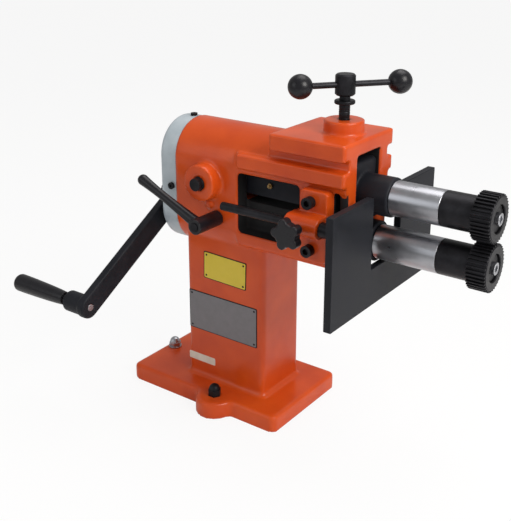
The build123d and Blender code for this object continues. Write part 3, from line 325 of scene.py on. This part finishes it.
def joinedCopy(node):
    # the CAD solid with its loose triangles joined and its flat faces merged
    bm = bmesh.new()
    bm.from_mesh(nodes[node].data)
    bmesh.ops.remove_doubles(bm, verts=bm.verts, dist=joinDistance)
    bmesh.ops.dissolve_limit(bm, angle_limit=flatAngle, verts=bm.verts, edges=bm.edges)
    return bm


def shadeByAngle(mesh, angle):
    bm = bmesh.new()
    bm.from_mesh(mesh)
    limit = math.radians(angle)
    for edge in bm.edges:
        faces = edge.link_faces
        edge.smooth = len(faces) == 2 and faces[0].normal.angle(faces[1].normal, 0) < limit
    for face in bm.faces:
        face.smooth = True
    bm.to_mesh(mesh)
    bm.free()


def pieceFromMesh(name, mesh, material, body, replaced=(), angle=shadeAngle["machined"]):
    shadeByAngle(mesh, angle)
    piece = bpy.data.objects.new(name, mesh)
    bpy.context.scene.collection.objects.link(piece)
    mesh.materials.clear()
    mesh.materials.append(materials[material])
    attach(piece, body)
    if replaced:
        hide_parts(*replaced)
    return piece


def meshFromBmesh(name, bm):
    mesh = bpy.data.meshes.new(name)
    bm.to_mesh(mesh)
    bm.free()
    return mesh


def appliedMesh(piece, name):
    # the evaluated mesh of an object, kept without its modifiers
    graph = bpy.context.evaluated_depsgraph_get()
    mesh = bpy.data.meshes.new_from_object(piece.evaluated_get(graph))
    mesh.name = name
    return mesh


def workObject(mesh):
    piece = bpy.data.objects.new("work", mesh)
    bpy.context.scene.collection.objects.link(piece)
    return piece


def softenedCast(node, voxel, passes):
    # a casting: sharp solid edges become the soft edges of painted iron
    work = workObject(meshFromBmesh("work", joinedCopy(node)))
    remesh = work.modifiers.new("remesh", "REMESH")
    remesh.mode = "VOXEL"
    remesh.voxel_size = voxel
    smooth = work.modifiers.new("smooth", "SMOOTH")
    smooth.factor = smoothFactor
    smooth.iterations = passes
    mesh = appliedMesh(work, node)
    bpy.data.objects.remove(work)
    return mesh


# CAD node: name of the piece, voxel size, smoothing passes, material
castings = {
    "frame_casting": ("frameBody", 0.0021, 3, "framePaint"),
    "near_rod_bracket": ("nearBracket", 0.0011, 3, "smallPaint"),
    "far_rod_bracket": ("farBracket", 0.0011, 3, "smallPaint"),
    "swing_arm": ("armHousing", 0.0016, 2, "blackPaint"),
    "crank_arm": ("crankBar", 0.0012, 4, "blackPaint"),
    "near_star_knob": ("nearStarKnob", 0.0007, 4, "blackPlastic"),
    "far_star_knob": ("farStarKnob", 0.0007, 4, "blackPlastic"),
    "clamp_lever": ("clampHandle", 0.0008, 4, "blackPlastic"),
}


def makeCastings():
    angle = shadeAngle["casting"]
    for node, (name, voxel, passes, material) in castings.items():
        mesh = softenedCast(node, voxel, passes)
        pieceFromMesh(name, mesh, material, bodyOfNode[node], (node,), angle)
    print("castings made")


# CAD node: name of the piece, bevel width, material
machined = {
    "gear_cover": ("gearCap", 0.0008, "coverPaint"),
    "fence_plate": ("fenceBoard", 0.0006, "blackPaint"),
    "lower_nose_cap": ("noseCap", 0.0005, "blackPaint"),
    "guide_rods": ("guideRods", 0.0006, "blackSteel"),
    "screw_lock_ring": ("lockRing", 0.0003, "blackSteel"),
    "tee_bar": ("teeBar", 0.0002, "blackSteel"),
    "handle_spindle": ("handleSpindle", 0.0003, "turnedSteel"),
    "handle_grip": ("crankGrip", 0.0003, "blackPlastic"),
    "upper_shaft": ("upperShaft", 0.0006, "turnedSteel"),
    "lower_shaft": ("lowerShaft", 0.0006, "turnedSteel"),
    "upper_end_washer": ("upperEndWasher", 0.0004, "blackSteel"),
    "lower_end_washer": ("lowerEndWasher", 0.0004, "blackSteel"),
    "upper_end_screw": ("upperEndScrew", 0.0004, "turnedSteel"),
    "lower_end_screw": ("lowerEndScrew", 0.0004, "turnedSteel"),
    "crank_washer": ("crankWasher", 0.0003, "blackSteel"),
    "crank_screw": ("crankScrew", 0.0003, "blackSteel"),
    "lug_cap_nuts": ("lugNuts", 0.0003, "blackSteel"),
    "rear_cap_nut": ("rearNut", 0.0003, "turnedSteel"),
    "rear_washer": ("rearWasher", 0.0003, "turnedSteel"),
    "thrust_foot": ("thrustFoot", 0.0003, "blackSteel"),
    "pivot_bolts": ("pivotBolts", 0.0005, "blackSteel"),
}


def addBevel(piece, width):
    # a narrow bevel along each sharp corner
    bevel = piece.modifiers.new("edges", "BEVEL")
    bevel.width = width
    bevel.segments = bevelLook["segments"]
    bevel.limit_method = "ANGLE"
    bevel.angle_limit = bevelLook["angle"]


def makeMachined():
    # turned and milled parts: each sharp corner gets a narrow bevel
    for node, (name, width, material) in machined.items():
        mesh = meshFromBmesh(name, joinedCopy(node))
        piece = pieceFromMesh(name, mesh, material, bodyOfNode[node], (node,))
        addBevel(piece, width)
    print("machined parts made")


ballLook = {"around": 48, "rings": 32, "share": 0.999}


def makeBalls():
    # two round balls on the tee bar, a hair smaller than the CAD ones
    look = ballLook
    low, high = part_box("ball_knobs")
    radius = (high.z - low.z) / 2
    bm = bmesh.new()
    ends = ((low.x + radius, low.y + radius), (high.x - radius, high.y - radius))
    for x, y in ends:
        spot = Matrix.Translation((x, y, (low.z + high.z) / 2))
        bmesh.ops.create_uvsphere(
            bm, u_segments=look["around"], v_segments=look["rings"], radius=radius * look["share"],
            matrix=spot,
        )
    mesh = meshFromBmesh("ballKnobs", bm)
    pieceFromMesh("ballKnobs", mesh, "blackPlastic", "tee", ("ball_knobs",))
    print("ball knobs made")


# node trees for what repeats


def treeStart(name, sockets):
    tree = bpy.data.node_groups.new(name, "GeometryNodeTree")
    tree.interface.new_socket("Geometry", in_out="INPUT", socket_type="NodeSocketGeometry")
    for label, kind in sockets:
        tree.interface.new_socket(label, in_out="INPUT", socket_type="NodeSocket" + kind)
    tree.interface.new_socket("Geometry", in_out="OUTPUT", socket_type="NodeSocketGeometry")
    return tree, tree.nodes.new("NodeGroupInput"), tree.nodes.new("NodeGroupOutput")


def place(tree, kind, links=(), values=(), **settings):
    # a node, its incoming links by socket name and its fixed socket values
    node = addNode(tree, kind, **settings)
    for socket, source in dict(links).items():
        tree.links.new(source, node.inputs[socket])
    for socket, value in dict(values).items():
        node.inputs[socket].default_value = value
    return node


def treeEnd(tree, start, end, geometry):
    real = place(tree, "GeometryNodeRealizeInstances", {"Geometry": geometry})
    links = {"Geometry": real.outputs[0], "Material": start.outputs["Material"]}
    painted = place(tree, "GeometryNodeSetMaterial", links)
    tree.links.new(painted.outputs[0], end.inputs[0])
    return tree


def treeMesh(tree, mesh, name, values):
    work = workObject(mesh)
    nodesModifier = work.modifiers.new("tree", "NODES")
    nodesModifier.node_group = tree
    for item in tree.interface.items_tree:
        if item.in_out == "INPUT" and item.name in values:
            nodesModifier[item.identifier] = values[item.name]
    made = appliedMesh(work, name)
    work.modifiers.remove(nodesModifier)
    bpy.data.objects.remove(work)
    return made


def joined(tree, *parts):
    join = place(tree, "GeometryNodeJoinGeometry")
    for part in parts:
        tree.links.new(part, join.inputs[0])
    return join.outputs[0]


def screwTree():
    # socket screws on points: a head with a hexagon hole, turned at random, and its shank
    tree, start, end = treeStart("socketScrews", (
        ("Head Radius", "Float"), ("Head Height", "Float"), ("Socket Radius", "Float"),
        ("Socket Depth", "Float"), ("Shank Radius", "Float"), ("Shank Length", "Float"),
        ("Seed", "Int"), ("Material", "Material"),
    ))
    give = start.outputs
    links = {"Radius": give["Head Radius"], "Depth": give["Head Height"]}
    head = place(tree, "GeometryNodeMeshCylinder", links, {"Vertices": 40})
    depth = mathNode(tree, "MULTIPLY", give["Socket Depth"], 2)
    links = {"Radius": give["Socket Radius"], "Depth": depth}
    hexagon = place(tree, "GeometryNodeMeshCylinder", links, {"Vertices": 6})
    half = mathNode(tree, "MULTIPLY", give["Head Height"], 0.5)
    top = place(tree, "ShaderNodeCombineXYZ", {"Z": half})
    links = {"Geometry": hexagon.outputs[0], "Translation": top.outputs[0]}
    hole = place(tree, "GeometryNodeTransform", links)
    links = {"Mesh 1": head.outputs[0], "Mesh 2": hole.outputs[0]}
    cut = place(tree, "GeometryNodeMeshBoolean", links, operation="DIFFERENCE")
    links = {"Geometry": cut.outputs[0], "Translation": top.outputs[0]}
    raised = place(tree, "GeometryNodeTransform", links)
    links = {"Radius": give["Shank Radius"], "Depth": give["Shank Length"]}
    shank = place(tree, "GeometryNodeMeshCylinder", links, {"Vertices": 24})
    down = mathNode(tree, "MULTIPLY", give["Shank Length"], -0.5)
    below = place(tree, "ShaderNodeCombineXYZ", {"Z": down})
    links = {"Geometry": shank.outputs[0], "Translation": below.outputs[0]}
    sunk = place(tree, "GeometryNodeTransform", links)
    screw = joined(tree, raised.outputs[0], sunk.outputs[0])
    facing = place(
        tree, "GeometryNodeInputNamedAttribute", values={"Name": "facing"}, data_type="FLOAT_VECTOR"
    )
    aim = place(tree, "FunctionNodeAlignRotationToVector", {"Vector": facing.outputs[0]}, axis="Z")
    chance = place(tree, "FunctionNodeRandomValue", {"Seed": give["Seed"]}, data_type="FLOAT")
    turn = mathNode(tree, "MULTIPLY", chance.outputs["Value"], math.pi / 3)
    about = place(tree, "ShaderNodeCombineXYZ", {"Z": turn})
    spin = place(tree, "FunctionNodeEulerToRotation", {"Euler": about.outputs[0]})
    links = {"Rotation": aim.outputs[0], "Rotate By": spin.outputs[0]}
    turned = place(tree, "FunctionNodeRotateRotation", links, rotation_space="LOCAL")
    links = {"Points": give["Geometry"], "Instance": screw, "Rotation": turned.outputs[0]}
    spread = place(tree, "GeometryNodeInstanceOnPoints", links)
    return treeEnd(tree, start, end, spread.outputs[0])


def toothTree():
    # teeth round a roll: tapered blocks spread on a ring and joined to the roll's body
    tree, start, end = treeStart("rollTeeth", (
        ("Teeth", "Int"), ("Ring Radius", "Float"), ("Tooth Height", "Float"),
        ("Tooth Thickness", "Float"), ("Width", "Float"), ("Taper", "Float"), ("Phase", "Float"),
        ("Centre", "Vector"), ("Material", "Material"),
    ))
    give = start.outputs
    size = place(tree, "ShaderNodeCombineXYZ", {
        "X": give["Tooth Height"], "Y": give["Tooth Thickness"], "Z": give["Width"],
    })
    tooth = place(tree, "GeometryNodeMeshCube", {"Size": size.outputs[0]})
    position = place(tree, "GeometryNodeInputPosition")
    split = place(tree, "ShaderNodeSeparateXYZ", {"Vector": position.outputs[0]})
    outer = mathNode(tree, "GREATER_THAN", split.outputs["X"], 0)
    shrink = place(tree, "ShaderNodeCombineXYZ", {"Y": give["Taper"]}, {"X": 1, "Z": 1})
    links = {0: position.outputs[0], 1: shrink.outputs[0]}
    narrow = place(tree, "ShaderNodeVectorMath", links, operation="MULTIPLY")
    links = {"Geometry": tooth.outputs[0], "Selection": outer, "Position": narrow.outputs[0]}
    tapered = place(tree, "GeometryNodeSetPosition", links)
    links = {"Vertices": give["Teeth"], "Radius": give["Ring Radius"]}
    ring = place(tree, "GeometryNodeMeshCircle", links)
    index = place(tree, "GeometryNodeInputIndex")
    step = mathNode(tree, "DIVIDE", 2 * math.pi, give["Teeth"])
    angle = mathNode(tree, "MULTIPLY", index.outputs[0], step)
    turn = place(tree, "ShaderNodeCombineXYZ", {"Z": angle})
    links = {"Points": ring.outputs[0], "Instance": tapered.outputs[0], "Rotation": turn.outputs[0]}
    spread = place(tree, "GeometryNodeInstanceOnPoints", links)
    phase = place(tree, "ShaderNodeCombineXYZ", {"Z": give["Phase"]})
    links = {"Geometry": spread.outputs[0], "Rotation": phase.outputs[0]}
    phased = place(tree, "GeometryNodeTransform", links)
    links = {"Geometry": phased.outputs[0], "Translation": give["Centre"]}
    upright = place(tree, "GeometryNodeTransform", links, {"Rotation": (0, math.pi / 2, 0)})
    return treeEnd(tree, start, end, joined(tree, give["Geometry"], upright.outputs[0]))


def threadTree():
    # a ridge wound round the pressure screw
    tree, start, end = treeStart("screwThread", (
        ("Turns", "Float"), ("Radius", "Float"), ("Length", "Float"), ("Ridge", "Float"),
        ("Foot", "Vector"), ("Material", "Material"),
    ))
    give = start.outputs
    links = {
        "Rotations": give["Turns"], "Start Radius": give["Radius"], "End Radius": give["Radius"],
        "Height": give["Length"],
    }
    path = place(tree, "GeometryNodeCurveSpiral", links, {"Resolution": 32})
    links = {"Radius": give["Ridge"]}
    section = place(tree, "GeometryNodeCurvePrimitiveCircle", links, {"Resolution": 4})
    links = {"Curve": path.outputs[0], "Profile Curve": section.outputs[0]}
    ridge = place(tree, "GeometryNodeCurveToMesh", links, {"Fill Caps": True})
    links = {"Geometry": ridge.outputs[0], "Translation": give["Foot"]}
    moved = place(tree, "GeometryNodeTransform", links)
    return treeEnd(tree, start, end, joined(tree, give["Geometry"], moved.outputs[0]))


def rivetTree():
    # low domes at the corners of a plate
    tree, start, end = treeStart("plateRivets", (("Radius", "Float"), ("Material", "Material")))
    give = start.outputs
    links = {"Radius": give["Radius"]}
    ball = place(tree, "GeometryNodeMeshUVSphere", links, {"Segments": 20, "Rings": 12})
    links = {"Geometry": ball.outputs[0]}
    dome = place(tree, "GeometryNodeTransform", links, {"Scale": (1, 0.5, 1)})
    links = {"Points": give["Geometry"], "Instance": dome.outputs[0]}
    spread = place(tree, "GeometryNodeInstanceOnPoints", links)
    return treeEnd(tree, start, end, spread.outputs[0])


def pointMesh(spots):
    # bare points, each with the way its screw faces
    mesh = bpy.data.meshes.new("spots")
    mesh.from_pydata([spot for spot, facing in spots], [], [])
    store = mesh.attributes.new("facing", "FLOAT_VECTOR", "POINT")
    for index, (spot, facing) in enumerate(spots):
        store.data[index].vector = facing
    return mesh


def lathe(profile, centre, segments=72):
    # closed ring of (x, radius) points turned about a line along X
    bm = bmesh.new()
    rings = []
    for step in range(segments):
        angle = 2 * math.pi * step / segments
        rings.append([
            bm.verts.new((x, centre[0] + r * math.cos(angle), centre[1] + r * math.sin(angle)))
            for x, r in profile
        ])
    for step in range(segments):
        here, there = rings[step], rings[(step + 1) % segments]
        for index in range(len(profile)):
            after = (index + 1) % len(profile)
            bm.faces.new((here[index], here[after], there[after], there[index]))
    bmesh.ops.recalc_face_normals(bm, faces=bm.faces)
    return bm


screwLook = {
    "bracket": {
        "head": 0.008, "height": 0.010, "socket": 0.0046, "depth": 0.005,
        "shank": 0.005, "length": 0.031, "seed": 3,
    },
    "cover": {
        "head": 0.005, "height": 0.0035, "socket": 0.0021, "depth": 0.002,
        "shank": 0.0025, "length": 0.006, "seed": 8,
    },
}


def makeScrews():
    tree = screwTree()
    for kind, node, name in (
        ("bracket", "bracket_screws", "bracketScrews"),
        ("cover", "gear_cover_screws", "coverScrews"),
    ):
        look = screwLook[kind]
        low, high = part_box(node)
        x = (low.x + high.x) / 2
        spots = []
        for side, faceY in ((-1, low.y + look["height"]), (1, high.y - look["height"])):
            heights = (low.z + look["head"],)
            if kind == "bracket":
                heights = (low.z + look["head"], high.z - look["head"])
            spots += [((x, faceY, z), (0, side, 0)) for z in heights]
        if kind == "cover":
            spots.append(((x, 0, high.z - look["height"]), (0, 0, 1)))
        made = treeMesh(tree, pointMesh(spots), name, {
            "Head Radius": look["head"], "Head Height": look["height"],
            "Socket Radius": look["socket"], "Socket Depth": look["depth"],
            "Shank Radius": look["shank"], "Shank Length": look["length"],
            "Seed": look["seed"], "Material": materials["blackSteel"],
        })
        pieceFromMesh(name, made, "blackSteel", bodyOfNode[node], (node,))
    print("socket screws made")


rollLook = {
    "teeth": 36, "root": 0.0282, "tip": 0.031, "hub": 0.023, "bore": 0.0125, "recess": 0.018,
    "recessDepth": 0.006, "rimWidth": 0.026, "thickness": 0.0030, "taper": 0.62, "edge": 0.0008,
    "sunk": 0.0006, "inside": 0.0001, "toothBevel": 0.0003,
}


def makeRolls():
    look = rollLook
    tree = toothTree()
    for node, name, turn in (
        ("upper_roll", "upperRoll", 0),
        ("lower_roll", "lowerRoll", math.pi + math.pi / look["teeth"]),
    ):
        low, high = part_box(node)
        centre = middle(node)
        edge = look["edge"]
        rim = high.x - look["rimWidth"]
        floor = high.x - look["recessDepth"]
        profile = (
            (low.x, look["bore"]), (low.x, look["hub"] - edge), (low.x + edge, look["hub"]),
            (rim, look["hub"]), (rim, look["root"] - edge), (rim + edge, look["root"]),
            (high.x - edge, look["root"]), (high.x, look["root"] - edge),
            (high.x, look["recess"] + edge), (high.x - edge, look["recess"]),
            (floor, look["recess"]), (floor, look["bore"]),
        )
        core = meshFromBmesh(name, lathe(profile, (0, round(centre.z, 4))))
        height = look["tip"] - look["root"] + look["sunk"]
        made = treeMesh(tree, core, name, {
            "Teeth": look["teeth"], "Ring Radius": look["tip"] - look["inside"] - height / 2,
            "Tooth Height": height, "Tooth Thickness": look["thickness"],
            "Width": look["rimWidth"] - 2 * edge, "Taper": look["taper"], "Phase": turn,
            "Centre": (high.x - look["rimWidth"] / 2, 0, round(centre.z, 4)),
            "Material": materials["blackSteel"],
        })
        piece = pieceFromMesh(name, made, "blackSteel", bodyOfNode[node], (node,))
        addBevel(piece, look["toothBevel"])
    print("toothed rolls made")


threadLook = {"pitch": 0.002, "ridge": 0.0007, "radius": 0.0068, "lead": 0.001}


def makeThread():
    look = threadLook
    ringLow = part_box("screw_lock_ring")[0]
    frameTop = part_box("frame_casting")[1].z
    centre = middle("pressure_screw")
    foot = frameTop + look["lead"]
    length = ringLow.z - foot
    body = meshFromBmesh("pressureScrew", joinedCopy("pressure_screw"))
    made = treeMesh(threadTree(), body, "pressureScrew", {
        "Turns": length / look["pitch"], "Radius": look["radius"], "Length": length,
        "Ridge": look["ridge"], "Foot": (centre.x, 0, foot), "Material": materials["blackSteel"],
    })
    pieceFromMesh("pressureScrew", made, "blackSteel", "screw", ("pressure_screw",))
    print("pressure screw made")


columnFaceY = -0.0455
plateLook = {
    "yellow": {"size": (0.077, 0.042), "centre": (0.0215, 0.2095), "turn": -1.5},
    "silver": {"size": (0.125, 0.062), "centre": (0.0165, 0.133), "turn": 0},
    "sticker": {"size": (0.050, 0.012), "centre": (-0.024, 0.054), "turn": 0},
    "thickness": 0.0006,
    "faceShare": 0.3,
    "rim": 0.0012,
    "corner": 0.002,
    "cornerSteps": 4,
    "rivetInset": 0.005,
    "rivetRadius": 0.0016,
}


def flatPlate(name, size, centre, turn, standoff, material, thickness):
    # thin plate on the near side of the column, with rounded corners
    corner = plateLook["corner"]
    steps = plateLook["cornerSteps"]
    bm = bmesh.new()
    points = []
    for sx, sz, start in ((1, 1, 0), (-1, 1, 90), (-1, -1, 180), (1, -1, 270)):
        for step in range(steps + 1):
            angle = math.radians(start + step * 90 / steps)
            points.append(
                Vector((
                    sx * (size[0] / 2 - corner) + corner * math.cos(angle),
                    0,
                    sz * (size[1] / 2 - corner) + corner * math.sin(angle),
                ))
            )
    verts = [bm.verts.new(p) for p in points]
    face = bm.faces.new(verts)
    face.normal_update()
    if face.normal.y > 0:
        face.normal_flip()
    made = bmesh.ops.extrude_face_region(bm, geom=[face])
    moved = [v for v in made["geom"] if isinstance(v, bmesh.types.BMVert)]
    bmesh.ops.translate(bm, verts=moved, vec=(0, -thickness, 0))
    bmesh.ops.recalc_face_normals(bm, faces=bm.faces)
    spot = Matrix.Translation((centre[0], columnFaceY - standoff, centre[1]))
    tilt = Matrix.Rotation(math.radians(-turn), 4, "Y")
    bmesh.ops.transform(bm, matrix=spot @ tilt, verts=bm.verts)
    return pieceFromMesh(name, meshFromBmesh(name, bm), material, "frame")


def makePlates():
    thick = plateLook["thickness"]
    faceShare = plateLook["faceShare"]
    rim = plateLook["rim"]
    rivetsTree = rivetTree()
    for name, backing, front, slot in (
        ("yellow", "blackPaint", "yellowPlate", "cover_paint"),
        ("silver", "blackPaint", "silverPlate", "bright_steel"),
    ):
        look = plateLook[name]
        flatPlate(
            name + "Plate", look["size"], look["centre"], look["turn"], 0, backing, thick
        )
        inner = tuple(s - 2 * rim for s in look["size"])
        flatPlate(
            name + "PlateFace", inner, look["centre"], look["turn"], thick, front,
            thick * faceShare,
        )
        tilt = math.radians(look["turn"])
        inset = plateLook["rivetInset"]
        spots = []
        for sx in (-1, 1):
            for sz in (-1, 1):
                dx, dz = (sx * (look["size"][0] / 2 - inset), sz * (look["size"][1] / 2 - inset))
                x = look["centre"][0] + dx * math.cos(tilt) - dz * math.sin(tilt)
                z = look["centre"][1] + dx * math.sin(tilt) + dz * math.cos(tilt)
                spots.append(((x, columnFaceY - thick * (1 + faceShare), z), (0, -1, 0)))
        rivets = treeMesh(rivetsTree, pointMesh(spots), name + "Rivets", {
            "Radius": plateLook["rivetRadius"], "Material": materials["blackSteel"],
        })
        pieceFromMesh(
            name + "Rivets", rivets, "blackSteel", "frame", (), shadeAngle["rivet"]
        )
    look = plateLook["sticker"]
    flatPlate(
        "paleSticker", look["size"], look["centre"], look["turn"], 0, "paleSticker",
        thick * faceShare,
    )
    print("plates made")


makeCastings()
makeMachined()
makeBalls()
makeScrews()
makeRolls()
makeThread()
makePlates()

for node, piece in nodes.items():
    piece.data.materials.clear()
    piece.data.materials.append(materials[slotMaterials[slotOfNode[node]]])


# floor, light and camera

stageLook = {
    "floorSize": 30,
    "floorColour": 0.86,
    "floorRoughness": 0.8,
    "floorGlow": 0.88,
    "world": 0.44,
    "sky": 1.0,
    "skyColour": (1, 0.985, 0.97, 1),
}


def glowMix(tree, shader, output, strength, whiteness):
    # a glow that only the camera sees, so that it lights nothing
    path = addNode(tree, "ShaderNodeLightPath")
    factor = mathNode(tree, "MULTIPLY", path.outputs["Is Camera Ray"], strength)
    glow = addNode(tree, "ShaderNodeEmission")
    glow.inputs["Color"].default_value = (whiteness, whiteness, whiteness, 1)
    mix = addNode(tree, "ShaderNodeMixShader")
    tree.links.new(factor, mix.inputs["Fac"])
    tree.links.new(shader, mix.inputs[1])
    tree.links.new(glow.outputs[0], mix.inputs[2])
    tree.links.new(mix.outputs[0], output)


def makeStage():
    look = stageLook
    bm = bmesh.new()
    bmesh.ops.create_grid(bm, x_segments=1, y_segments=1, size=look["floorSize"])
    floor = bpy.data.objects.new("floor", meshFromBmesh("floor", bm))
    bpy.context.scene.collection.objects.link(floor)
    material, tree, shader = newMaterial("floorPale")
    shader.inputs["Base Color"].default_value = (look["floorColour"],) * 3 + (1,)
    shader.inputs["Roughness"].default_value = look["floorRoughness"]
    output = tree.nodes["Material Output"].inputs["Surface"]
    glowMix(tree, shader.outputs[0], output, look["floorGlow"], 1)
    floor.data.materials.append(material)

    world = bpy.data.worlds.new("studio")
    bpy.context.scene.world = world
    world.use_nodes = True
    tree = world.node_tree
    background = tree.nodes["Background"]
    path = addNode(tree, "ShaderNodeLightPath")
    seen = path.outputs["Is Camera Ray"]
    extra = mathNode(tree, "MULTIPLY", seen, look["sky"] - look["world"])
    strength = mathNode(tree, "ADD", extra, look["world"])
    background.inputs["Color"].default_value = look["skyColour"]
    tree.links.new(strength, background.inputs["Strength"])


lampTarget = Vector((0.05, 0, 0.25))
lamps = {
    "frontSoft": {"at": (1.6, -0.3, 1.3), "size": 0.9, "power": 26, "colour": (1, 0.97, 0.93)},
    "topSoft": {"at": (0.1, 0.5, 1.9), "size": 1.2, "power": 14, "colour": (1, 0.97, 0.96)},
    "sideSoft": {"at": (-0.7, -1.5, 1.0), "size": 1.0, "power": 3.5, "colour": (0.95, 0.97, 1)},
}


def makeLamps():
    for name, look in lamps.items():
        data = bpy.data.lights.new(name, "AREA")
        data.shape = "SQUARE"
        data.size = look["size"]
        data.energy = look["power"]
        data.color = look["colour"]
        lamp = bpy.data.objects.new(name, data)
        lamp.location = look["at"]
        lamp.rotation_euler = (lampTarget - lamp.location).to_track_quat("-Z", "Y").to_euler()
        bpy.context.scene.collection.objects.link(lamp)


cameraLook = {
    "at": (0.74285, -0.95335, 0.70099),
    "tilt": 71.085,
    "turn": 36.286,
    "focal": 60.32,
    "sensor": 36,
    "shift": -0.1001,
}


def makeCamera():
    data = bpy.data.cameras.new("camera")
    data.lens = cameraLook["focal"]
    data.sensor_width = cameraLook["sensor"]
    data.shift_y = cameraLook["shift"]
    camera = bpy.data.objects.new("camera", data)
    camera.location = cameraLook["at"]
    camera.rotation_euler = (math.radians(cameraLook["tilt"]), 0, math.radians(cameraLook["turn"]))
    bpy.context.scene.collection.objects.link(camera)
    bpy.context.scene.camera = camera


makeStage()
makeLamps()
makeCamera()
bpy.context.scene.view_settings.view_transform = "Standard"
print("stage, lamps and camera made")
